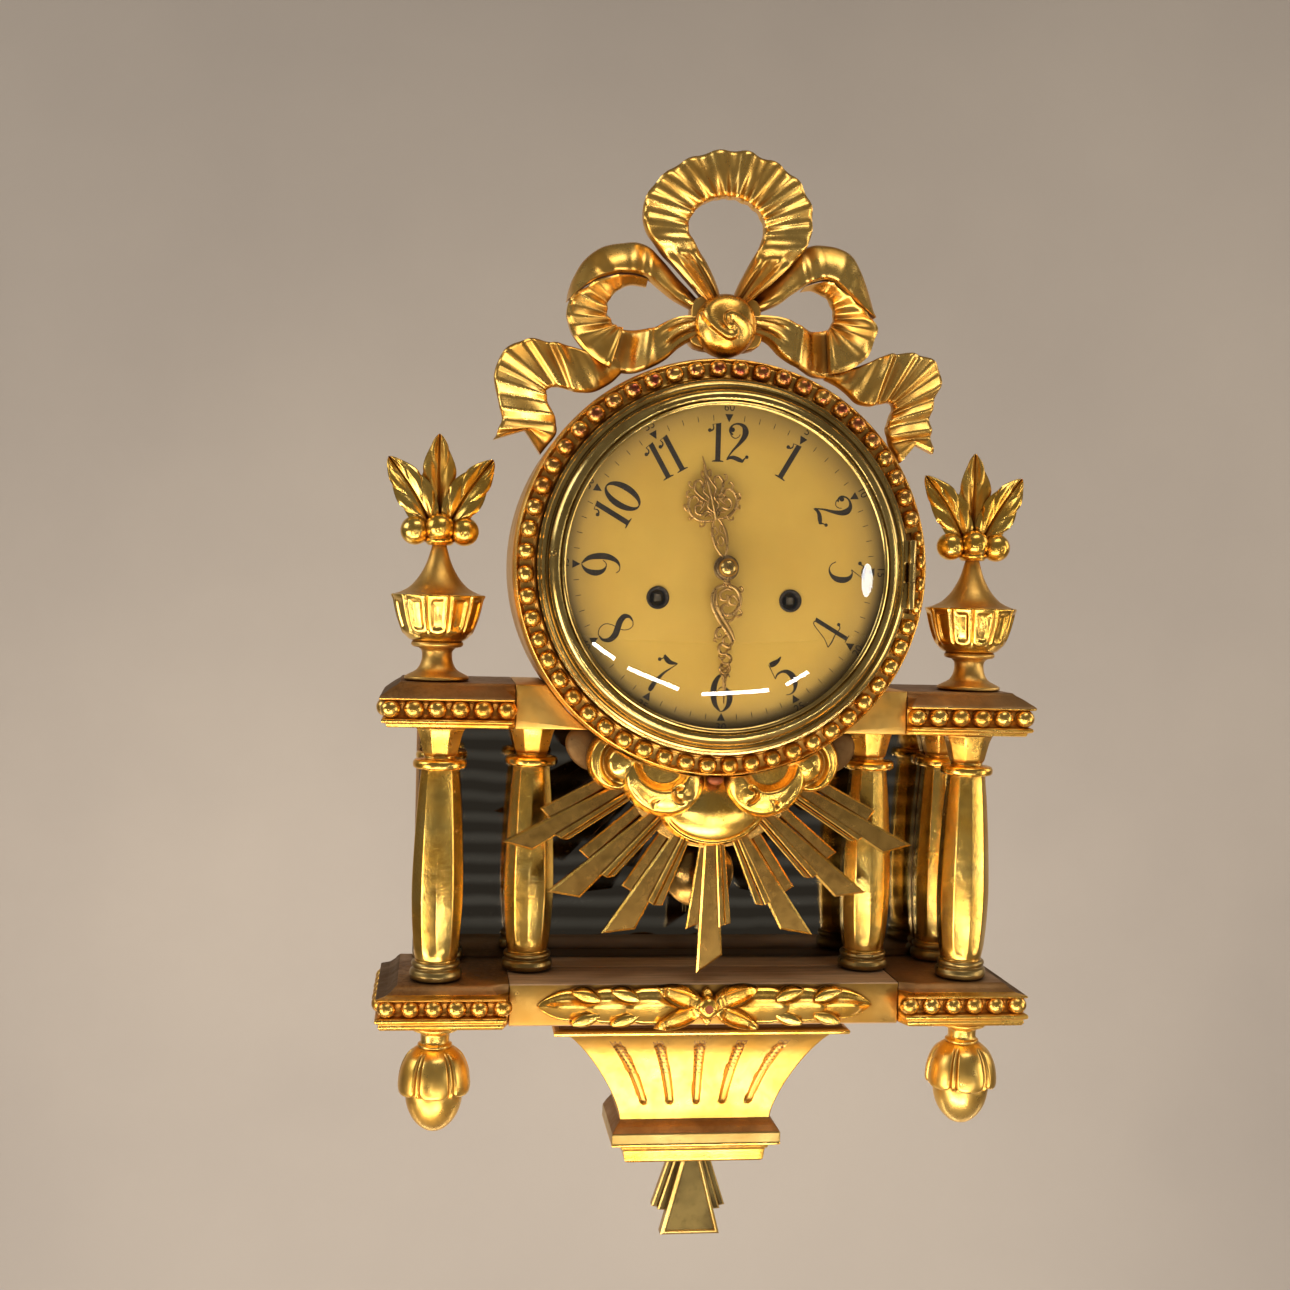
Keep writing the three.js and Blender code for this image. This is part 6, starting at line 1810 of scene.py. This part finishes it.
def digit(k, d, dx=0.0):
    """One old-style figure, one unit high, drawn with thick stems and hairlines."""
    S = lambda pts, w, **kw: k.stroke([(x + dx, y) for x, y in pts], w, **kw)
    D = lambda x, y, r: k.dot(x + dx, y, r)
    if d == 1:
        k.poly([(dx - 0.068, -0.48), (dx + 0.068, -0.48), (dx + 0.068, 0.50), (dx - 0.01, 0.475), (dx - 0.068, 0.46)])
        k.poly([(dx - 0.15, -0.50), (dx + 0.15, -0.50), (dx + 0.15, -0.478), (dx + 0.068, -0.455), (dx - 0.068, -0.455), (dx - 0.15, -0.478)])
        k.poly([(dx - 0.068, 0.46), (dx + 0.068, 0.50), (dx + 0.09, 0.505), (dx - 0.16, 0.455), (dx - 0.16, 0.435)])
        S([(-0.15, 0.445), (-0.125, 0.36), (-0.165, 0.30), (-0.215, 0.30)], [0.012, 0.02, 0.025, 0.03])
        D(-0.225, 0.30, 0.048)
    elif d == 0:
        pts, w = [], []
        for i in range(49):
            t = TAU * i / 48 + math.pi / 2
            pts.append((0.235 * math.cos(t), 0.485 * math.sin(t)))
        n = len(pts)
        p = np.array(pts)
        p[:, 0] += dx
        ww = [0.020 + 0.120 * abs(math.cos(TAU * i / 48 + math.pi / 2)) ** 1.5 for i in range(49)]
        k.stroke(p, ww, smooth=False)
    elif d == 2:
        S([(-0.085, 0.205), (-0.155, 0.26), (-0.165, 0.36), (-0.08, 0.46), (0.05, 0.485), (0.18, 0.43), (0.235, 0.30), (0.20, 0.15), (0.07, -0.03), (-0.10, -0.22), (-0.235, -0.42)],
          [0.02, 0.035, 0.035, 0.025, 0.035, 0.085, 0.140, 0.115, 0.065, 0.030, 0.018])
        S([(-0.16, 0.30), (-0.13, 0.175), (-0.035, 0.115), (0.055, 0.15), (0.10, 0.22)], [0.018, 0.016, 0.014, 0.013, 0.010])
        D(-0.105, 0.33, 0.062)
        S([(-0.245, -0.445), (-0.15, -0.385), (-0.04, -0.385), (0.08, -0.43), (0.19, -0.475)], [0.012, 0.055, 0.085, 0.095, 0.055])
        S([(0.17, -0.47), (0.225, -0.40), (0.28, -0.36)], [0.04, 0.02, 0.02])
        D(0.285, -0.355, 0.045)
    elif d == 3:
        D(-0.215, 0.335, 0.05)
        S([(-0.215, 0.335), (-0.17, 0.38), (-0.135, 0.45)], [0.02, 0.02, 0.02])
        S([(-0.15, 0.49), (-0.05, 0.44), (0.08, 0.43), (0.215, 0.485)], [0.02, 0.085, 0.075, 0.012])
        S([(0.215, 0.485), (0.09, 0.30), (-0.045, 0.115)], [0.014, 0.012, 0.014])
        S([(-0.045, 0.115), (0.05, 0.135), (0.165, 0.07), (0.225, -0.08), (0.205, -0.27), (0.10, -0.42), (-0.04, -0.475), (-0.17, -0.42), (-0.24, -0.30)],
          [0.014, 0.022, 0.085, 0.135, 0.125, 0.055, 0.020, 0.014, 0.016])
    elif d == 4:
        k.poly([(dx + 0.055, -0.48), (dx + 0.165, -0.48), (dx + 0.165, 0.50), (dx + 0.055, 0.48)])
        k.poly([(dx + 0.0, -0.50), (dx + 0.22, -0.50), (dx + 0.22, -0.482), (dx + 0.0, -0.482)])
        S([(0.07, 0.49), (-0.02, 0.46), (-0.12, 0.22), (-0.20, 0.02), (-0.335, -0.175)], [0.016, 0.014, 0.013, 0.013, 0.014])
        S([(-0.335, -0.175), (-0.16, -0.185), (0.05, -0.165), (0.24, -0.185), (0.30, -0.13)], [0.014, 0.022, 0.016, 0.016, 0.02])
        D(0.315, -0.105, 0.045)
    elif d == 5:
        S([(-0.165, 0.44), (-0.05, 0.43), (0.08, 0.445), (0.20, 0.50)], [0.105, 0.125, 0.075, 0.010])
        S([(-0.185, 0.47), (-0.195, 0.27), (-0.205, 0.06)], [0.014, 0.012, 0.012])
        S([(-0.205, 0.06), (-0.11, 0.135), (0.03, 0.145), (0.16, 0.07), (0.225, -0.09), (0.205, -0.28), (0.10, -0.43), (-0.03, -0.475), (-0.15, -0.44)],
          [0.012, 0.03, 0.045, 0.095, 0.135, 0.115, 0.045, 0.018, 0.012])
    elif d in (6, 9):
        s = 1 if d == 6 else -1
        T = lambda pts: [(x * s, y * s) for x, y in pts]
        S(T([(0.205, 0.40), (0.14, 0.475), (0.03, 0.485), (-0.10, 0.40), (-0.195, 0.20), (-0.215, -0.04), (-0.165, -0.30), (-0.03, -0.485)]),
          [0.014, 0.014, 0.020, 0.075, 0.130, 0.140, 0.100, 0.014])
        S(T([(-0.115, 0.05), (-0.03, 0.135), (0.07, 0.13), (0.175, 0.03), (0.215, -0.14), (0.165, -0.34), (0.05, -0.465), (-0.04, -0.485)]),
          [0.012, 0.014, 0.025, 0.090, 0.130, 0.090, 0.025, 0.012])
    elif d == 7:
        D(-0.225, 0.335, 0.048)
        S([(-0.225, 0.335), (-0.185, 0.37), (-0.145, 0.45)], [0.018, 0.016, 0.02])
        S([(-0.175, 0.50), (-0.09, 0.435), (0.05, 0.405), (0.235, 0.475)], [0.03, 0.105, 0.095, 0.012])
        S([(0.235, 0.475), (0.14, 0.28), (0.04, 0.06), (-0.02, -0.20), (-0.035, -0.42)], [0.012, 0.018, 0.045, 0.085, 0.115])
        D(-0.035, -0.445, 0.057)
    elif d == 8:
        S([(0.06, 0.465), (-0.085, 0.44), (-0.155, 0.32), (-0.09, 0.16), (0.03, 0.03), (0.145, -0.11), (0.185, -0.29), (0.10, -0.44), (-0.04, -0.478)],
          [0.016, 0.055, 0.115, 0.135, 0.140, 0.140, 0.105, 0.050, 0.014])
        S([(0.06, 0.465), (0.16, 0.40), (0.185, 0.27), (0.125, 0.13), (0.0, 0.03)], [0.014, 0.013, 0.013, 0.013, 0.013])
        S([(0.02, 0.04), (-0.13, -0.06), (-0.225, -0.20), (-0.20, -0.36), (-0.10, -0.46), (-0.04, -0.478)], [0.013, 0.013, 0.013, 0.013, 0.013, 0.013])


def small_number(text, centre, turn, height):
    cu = bpy.data.curves.new("num", "FONT")
    cu.body, cu.size, cu.align_x, cu.align_y = text, 1.0, "CENTER", "CENTER"
    ob = bpy.data.objects.new("num", cu)
    bpy.context.scene.collection.objects.link(ob)
    dg = bpy.context.evaluated_depsgraph_get()
    me = bpy.data.meshes.new_from_object(ob.evaluated_get(dg))
    v = np.array([tuple(p.co) for p in me.vertices])
    faces = [tuple(p.vertices) for p in me.polygons]
    bpy.data.objects.remove(ob)
    bpy.data.curves.remove(cu)
    bpy.data.meshes.remove(me)
    s = height / 0.70
    x, y = v[:, 0] * s, v[:, 1] * s
    ca, sa = math.cos(turn), math.sin(turn)
    X, Z = centre[0] + x * ca - y * sa, centre[1] + x * sa + y * ca
    # flat shapes become thin solids
    edges = {}
    for f in faces:
        for a, b in zip(f, f[1:] + f[:1]):
            k = (min(a, b), max(a, b))
            edges.setdefault(k, []).append((a, b))
    rim = [e[0] for e in edges.values() if len(e) == 1]
    n = len(v)
    verts = np.concatenate([np.stack([X, np.full(n, 88.06), Z], 1), np.stack([X, np.full(n, 87.95), Z], 1)])
    out = list(faces) + [tuple(i + n for i in reversed(f)) for f in faces] + [(b, a, a + n, b + n) for a, b in rim]
    return Body().add(verts, out)


def dial():
    k = Inkwork()
    H = 21.5
    for h in range(1, 13):
        th = math.radians(30 * h)
        c = (69.0 * math.sin(th), 69.0 * math.cos(th))
        turn = -th if (h >= 9 or h <= 3) else -th + math.pi
        k.put(c, turn, H)
        if h == 12:
            digit(k, 1, -0.27)
            digit(k, 2, 0.20)
        elif h == 11:
            digit(k, 1, -0.19)
            digit(k, 1, 0.22)
        elif h == 10:
            digit(k, 1, -0.34)
            digit(k, 0, 0.17)
        else:
            digit(k, h)
    for m in range(60):
        th = TAU * m / 60
        k.put((0, 0), -th, 1.0)
        if m % 5:
            k.poly([(-0.19, 81.2), (0.19, 81.2), (0.15, 84.3), (-0.15, 84.3)])
        else:
            k.poly([(0, 80.1), (2.3, 84.6), (-2.3, 84.6)])
            tx = str(m if m else 60)
            c = (88.3 * math.sin(th), 88.3 * math.cos(th))
            turn = -th if (m >= 45 or m <= 15) else -th + math.pi
            k.b.join(small_number(tx, c, turn, 4.3))
    emit("dial_numerals", k.b, INK, stands_for=(), sharp=30, weld=False)
    # black grommets in the winding holes, their sleeves running back inside as a dark lining of painted shade
    g = Body()
    for s in (-1, 1):
        prof = rounded([(5.2, 80.5), (5.9, 80.5), (5.9, 88.0), (6.3, 88.1), (6.35, 88.7), (5.8, 89.2), (5.0, 89.0), (4.5, 88.3), (4.35, 87.0), (4.35, 80.5)], 0.25, 2, closed=True)
        prof = [(min(r, 5.45) if q < 88.02 else r, q) for r, q in prof]
        lathe(prof, (s * 37.1, -17.3), axis="q", seg=56, ring=True, body=g)
    emit("winding_hole_grommets", g, INK, sharp=40)


# ---------------------------------------------------------------- hands
def filigree(strokes, q, rise, turn, body, gauge=1.35, narrow=1.0):
    """Fine scrolled wirework. strokes: (points, widths); the hand points up (+z) before it is turned clockwise."""
    ca, sa = math.cos(-math.radians(turn)), math.sin(-math.radians(turn))
    for i, (pts, w) in enumerate(strokes):
        p = catmull(pts, 9)
        p = np.stack([p[:, 0] * narrow, p[:, 1]], 1)
        ww = gauge * np.interp(np.linspace(0, 1, len(p)), np.linspace(0, 1, len(w)), w)
        lift = 0.16 * ((i % 3) - 1)
        x = p[:, 0] * ca - p[:, 1] * sa
        z = p[:, 0] * sa + p[:, 1] * ca
        path = np.stack([x, np.full(len(p), q + lift), z], 1)
        t = np.gradient(path, axis=0)
        t /= np.maximum(np.linalg.norm(t, axis=1, keepdims=True), 1e-9)
        s = np.cross(t, [0, 1, 0])
        s /= np.maximum(np.linalg.norm(s, axis=1, keepdims=True), 1e-9)
        rings = []
        for k in range(len(path)):
            # a rounded face with a flat back
            sec = [(math.cos(a), math.sin(a) if math.sin(a) > 0 else 0.55 * math.sin(a)) for a in np.arange(8) * TAU / 8]
            rings.append([path[k] + s[k] * c * ww[k] / 2 + np.array([0, 1, 0]) * d * rise for c, d in sec])
        tube_grid(rings, body)
    return body


def both(*strokes):
    out = []
    for pts, w in strokes:
        out += [(pts, w), ([(-x, y) for x, y in pts], w)]
    return out


def curl(cx, cy, r0, r1, a0, a1, n=10):
    """Points of a small spiral scroll."""
    return [(cx + (r0 + (r1 - r0) * k / n) * math.cos(a0 + (a1 - a0) * k / n), cy + (r0 + (r1 - r0) * k / n) * math.sin(a0 + (a1 - a0) * k / n)) for k in range(n + 1)]


def hands():
    W = [0.7, 1.15, 1.2, 0.95, 0.5]
    hour = both(
        ([(0.8, 6.5), (2.6, 9.5), (4.0, 15), (4.1, 20), (2.6, 25), (0.6, 28)], [1.0, 1.1, 1.3, 1.3, 1.0, 0.8]),
        ([(0.0, 12), (1.9, 14.5), (1.2, 17.2), (0.1, 18)], [0.5, 0.9, 0.8, 0.5]),
        ([(3.0, 18.5), (1.0, 20.5), (1.6, 23), (2.8, 23.2)], [0.5, 0.8, 0.8, 0.5]),
        ([(0.4, 27.5), (4.5, 27.0), (9.5, 28.2), (13.6, 31.6), (15.2, 36.5), (13.4, 41.0), (9.8, 41.8), (8.0, 39.2), (9.6, 37.4)], [0.7, 1.0, 1.2, 1.3, 1.3, 1.2, 1.0, 0.8, 0.5]),
        ([(1.0, 30.0), (4.6, 32.6), (8.4, 31.2), (11.2, 33.2), (10.6, 36.4), (7.6, 36.6), (6.6, 34.8)], [0.6, 1.0, 1.1, 1.1, 1.0, 0.8, 0.5]),
        ([(2.0, 37.0), (5.8, 40.4), (8.8, 45.0), (8.0, 49.2), (4.9, 49.8), (3.6, 47.4), (5.2, 45.9)], [0.6, 1.0, 1.2, 1.2, 1.0, 0.8, 0.5]),
        ([(0.0, 30.5), (3.4, 35.0), (1.6, 39.6), (4.0, 43.6), (1.8, 48.2), (0.0, 52.5)], [0.8, 1.0, 0.9, 1.0, 0.9, 0.5]),
        ([(12.6, 41.2), (14.6, 43.2), (13.4, 45.4), (11.8, 44.6)], [0.8, 0.9, 0.8, 0.4]),
        ([(14.9, 35.0), (17.2, 35.6), (17.4, 38.2), (15.9, 38.8)], [0.8, 0.9, 0.8, 0.4]),
        ([(13.2, 31.4), (15.6, 30.2), (16.4, 32.2)], [0.8, 0.8, 0.4]),
        ([(8.6, 46.6), (11.2, 47.4), (11.8, 49.8), (10.2, 50.2)], [0.7, 0.8, 0.7, 0.4]),
        ([(6.6, 28.0), (8.0, 25.4), (10.4, 25.2), (10.6, 26.8)], [0.7, 0.8, 0.7, 0.4]),
        ([(2.0, 28.6), (3.6, 30.6), (6.6, 29.8)], [0.5, 0.8, 0.5]),
        ([(4.0, 38.6), (6.2, 37.8), (7.2, 39.8), (5.6, 41.6)], [0.5, 0.8, 0.8, 0.4]),
        ([(9.0, 33.0), (7.2, 34.6), (5.0, 37.2), (3.8, 41.0)], [0.4, 0.7, 0.8, 0.5]),
        ([(1.2, 50.0), (3.0, 52.2), (2.6, 54.4), (1.0, 53.8)], [0.5, 0.7, 0.6, 0.4]),
    )
    hour += [([(0, 27), (0, 36), (0, 48)], [1.1, 1.0, 1.3]), ([(0, 47), (0, 54), (0, 62.5)], [2.2, 1.4, 0.35])]
    b = Body()
    filigree(hour, 91.9, 0.92, HOUR_DEG, b, gauge=1.45, narrow=0.90)
    lathe(rounded([(3.85, 91.0), (7.0, 91.0), (7.1, 92.2), (6.5, 92.8), (3.85, 92.8)], 0.3, 3, closed=True), (0, 0), axis="q", seg=72, ring=True, body=b, mat=1)
    emit("hour_hand_filigree", b, [PINK_GILT, DARK_BRASS], on="hour_train", stands_for=["hour_hand"], sharp=50)

    minute = [
        ([(-1.6, 6.6), (0, 7.2), (1.6, 6.6)], [0.7, 0.9, 0.7]), ([(-1.9, 7.9), (0, 8.5), (1.9, 7.9)], [0.7, 0.9, 0.7]), ([(-2.2, 9.2), (0, 9.8), (2.2, 9.2)], [0.7, 0.9, 0.7]),
        ([(-0.3, 5.6), (-0.9, 9.5), (-4.9, 11.2), (-7.4, 15.4), (-6.9, 21.0), (-3.4, 25.3), (0.6, 25.6), (2.6, 22.6), (1.0, 20.0), (-1.4, 21.0)], [0.9, 1.1, 1.2, 1.4, 1.4, 1.2, 1.1, 1.0, 0.8, 0.5]),
        ([(0.3, 5.6), (1.0, 9.5), (5.0, 10.9), (7.5, 14.6), (7.5, 20.6), (5.0, 26.6), (1.2, 32.6), (-2.4, 38.0), (-4.0, 41.2)], [0.9, 1.1, 1.2, 1.4, 1.5, 1.4, 1.3, 1.1, 0.8]),
        ([(5.8, 13.4), (5.6, 19.0), (3.0, 25.0), (-0.4, 30.4), (-3.4, 35.4), (-4.9, 40.0)], [0.5, 0.9, 1.1, 1.1, 1.0, 0.7]),
        ([(-5.2, 26.0), (-2.6, 28.8), (0.8, 28.4), (3.8, 24.8), (6.4, 21.0)], [0.5, 0.9, 1.0, 0.9, 0.5]),
        ([(-3.2, 12.4), (0.2, 11.6), (3.4, 13.6), (3.2, 17.0), (0.4, 17.8), (-0.9, 15.8), (0.6, 14.6)], [0.5, 0.9, 1.0, 1.0, 0.9, 0.7, 0.4]),
        ([(-6.2, 17.8), (-3.8, 15.2), (-1.6, 16.6), (-1.8, 19.4), (-4.2, 20.2), (-5.0, 18.6)], [0.5, 0.8, 0.9, 0.9, 0.7, 0.4]),
        ([(-7.0, 22.4), (-8.6, 24.6), (-6.8, 26.6), (-5.0, 25.2)], [0.7, 0.9, 0.8, 0.4]),
        ([(-7.2, 13.8), (-8.8, 12.2), (-8.0, 10.4), (-6.4, 11.0)], [0.6, 0.8, 0.7, 0.4]),
        ([(2.0, 31.6), (4.2, 33.4), (5.6, 36.2), (4.4, 38.4), (2.6, 37.6), (3.2, 36.0)], [0.7, 1.0, 1.0, 0.9, 0.7, 0.4]),
        ([(4.8, 37.6), (6.2, 39.6), (4.8, 41.0)], [0.6, 0.7, 0.4]),
        ([(-1.4, 36.6), (1.0, 38.6), (0.8, 41.2), (-1.8, 42.0)], [0.5, 0.8, 0.8, 0.5]),
        ([(-4.4, 40.4), (-1.8, 43.4), (1.8, 41.8), (3.6, 43.8), (2.4, 46.8), (-0.8, 47.4), (-3.2, 49.2), (-2.2, 52.2), (0.8, 52.4), (1.6, 50.4)], [0.7, 1.1, 1.1, 1.1, 1.1, 1.1, 1.1, 1.0, 0.8, 0.5]),
        ([(-3.4, 44.6), (-1.2, 45.2), (0.6, 49.2), (3.0, 49.6), (3.4, 47.6)], [0.5, 0.8, 0.9, 0.7, 0.4]),
        (curl(0, 55.2, 2.7, 2.7, -math.pi / 2, 3 * math.pi / 2, 16), [0.9] * 5),
        ([(-2.4, 53.6), (0, 55.4), (2.4, 57.0)], [0.4, 0.8, 0.4]), ([(2.4, 53.6), (0, 55.4), (-2.4, 57.0)], [0.4, 0.8, 0.4]),
        ([(-2.6, 58.4), (-1.0, 59.4), (0, 61.4)], [0.4, 0.8, 0.5]), ([(2.6, 58.4), (1.0, 59.4), (0, 61.4)], [0.4, 0.8, 0.5]),
        ([(0, 57.4), (0, 64), (0, 74.5)], [1.9, 1.3, 0.35]),
    ]
    b = Body()
    filigree(minute, 95.3, 0.9, MINUTE_DEG, b, gauge=1.75)
    lathe(rounded([(2.95, 94.6), (6.0, 94.6), (6.1, 95.5), (5.5, 96.0), (2.95, 96.0)], 0.25, 3, closed=True), (0, 0), axis="q", seg=72, ring=True, body=b, mat=1)
    emit("minute_hand_filigree", b, [PINK_GILT, DARK_BRASS], on="minute_train", stands_for=["minute_hand"], sharp=50)
    prof = [(1.3, 97.3)] + rounded([(1.3, 97.3), (5.0, 97.3), (5.15, 98.7), (4.6, 99.9), (3.4, 101.2), (1.9, 101.9), (1.3, 102.0)], 0.6, 3)[1:].tolist() + [(1.2, 102.5), (0.6, 102.6), (0, 102.6)]
    prof = [(0, 100.6), (1.28, 100.6)] + prof
    b = lathe(prof, (0, 0), axis="q", seg=64)
    emit("hand_nut_domed", b, BRASS, on="minute_train", stands_for=["hand_nut"], sharp=35)


# ---------------------------------------------------------------- bezel and glass
def bezel():
    prof = [(99.5, 88.3), (103.6, 88.3), (103.9, 88.6), (103.9, 90.2), (103.6, 90.7), (102.4, 90.9), (102.2, 91.5), (101.7, 92.2), (100.8, 92.6), (99.9, 92.5), (99.4, 92.0),
            (99.1, 91.7), (98.6, 91.7), (98.4, 92.4), (98.1, 93.6), (97.4, 94.8), (96.4, 95.8), (95.2, 96.6), (93.9, 97.0), (92.9, 96.9), (92.2, 96.5), (91.9, 95.9), (91.5, 95.6),
            (91.1, 95.9), (90.8, 96.4), (90.2, 96.7), (89.5, 96.6), (88.9, 96.2), (88.6, 95.8), (88.8, 95.45), (91.0, 94.95), (93.9, 94.4), (93.9, 90.6), (99.5, 90.6)]
    b = lathe(prof, (0, 0), axis="q", seg=240, ring=True)
    # painted shade: the inner wall and glass seat of the bezel are made dark brass
    paint(b, lambda c, nn: 1 if math.hypot(c[0], c[2]) < 94.5 and c[1] < 95.35 else 0)

    def knuckle(z0, z1, r=2.1):
        p = rounded([(0.95, z0), (r, z0), (r, z1), (0.95, z1)], 0.25, 3, closed=True)
        lathe(p, (105.1, 93), seg=40, ring=True, body=b)
    knuckle(5.4, 18.2)
    knuckle(-20.2, -5.4)
    for z0, z1 in ((5.6, 18.0), (-20.0, -5.6)):
        block((100.2, 90.4, z0), (104.9, 92.2, z1), 0.4, b)
    # the little catch pin and its rivet on the left
    prof = [(0, 98.9), (0.9, 98.8), (1.5, 98.2), (1.6, 97.4), (1.3, 96.8), (1.25, 95.6), (0, 95.6)]
    lathe(prof, (-95.6, 5.5), axis="q", seg=32, body=b)
    emit("bezel_turned", b, [BRASS, DARK_BRASS], on="bezel_door", stands_for=["bezel_frame"], sharp=28)

    R = (93.5 ** 2 + 13.1 ** 2) / (2 * 13.1)
    def dome(apex, n=40):
        a = math.asin(93.5 / R)
        return [(R * math.sin(a * k / n), apex - R + R * math.cos(a * k / n)) for k in range(n + 1)]
    outer, inner = dome(107.0), dome(105.0)
    prof = [(0, 107.0)] + outer[1:] + inner[::-1][:-1] + [(0, 105.0)]
    b = lathe(prof, (0, 0), axis="q", seg=200)
    emit("bezel_glass_domed", b, GLASS, on="bezel_door", stands_for=["bezel_glass"], sharp=30)


def pendulum():
    prof = [(0, 30.8)] + catmull([(1.5, 30.75), (7, 30.2), (13, 28.9), (18.0, 27.3), (20.2, 26.6)], 5).tolist() + rounded([(20.4, 26.5), (21.0, 26.4), (21.2, 25.6), (21.0, 24.9), (20.4, 24.8)], 0.4, 2).tolist() \
        + catmull([(20.2, 24.7), (17.0, 23.8), (12, 22.6), (6, 21.8), (1.5, 21.6)], 4).tolist() + [(0, 21.6)]
    b = lathe(prof, (0, -180), axis="q", seg=110)
    # the plain band that the rod passes through
    block((-3.4, 22.4, -203.0), (3.4, 29.8, -198.6), 0.8, b)
    emit("pendulum_bob_lens", b, BOB_BRASS, on="pendulum_bob", stands_for=["pendulum_bob"], sharp=38)


dial()
hands()
bezel()
pendulum()


# ---------------------------------------------------------------- carried-over CAD nodes
def cad_finish():
    def give(mat, *nodes):
        for nm in nodes:
            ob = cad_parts[nm]
            if not ob.material_slots:
                ob.data.materials.append(mat)
            for s in ob.material_slots:
                s.material = mat
    give(WOOD_BACK, "backboard")
    give(STEEL, "hanger_plate", "anchor_and_crutch", "strike_hammer")
    give(ARBOR, "winding_arbor_going", "winding_arbor_strike")
    give(STEEL_BLUE, "strike_gong")
    give(MIRROR, "mirror_glass")
    give(DIAL, "dial_plate")
    give(BRASS_MATT, "movement_front_plate", "movement_back_plate", "centre_arbor", "minute_wheel", "hour_wheel", "third_wheel",
         "escape_wheel", "going_barrel", "strike_barrel", "pendulum_leader", "pendulum_rod")
    give(BRASS, "hinge_bracket", "rating_nut", "bezel_frame", "pendulum_bob", "hand_nut")
    give(GLASS, "bezel_glass")
    give(PINK_GILT, "hour_hand", "minute_hand")
    for nm in ("ribbon_bow", "bow_rosette", "ribbon_tail_left", "ribbon_tail_right", "cloud_carving", "sunburst_rays", "laurel_garland"):
        give(GILT, nm)


cad_finish()

lo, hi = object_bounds()
{"cad_low": list(CAD_LO), "cad_high": list(CAD_HI), "visual_low": list(lo), "visual_high": list(hi)}
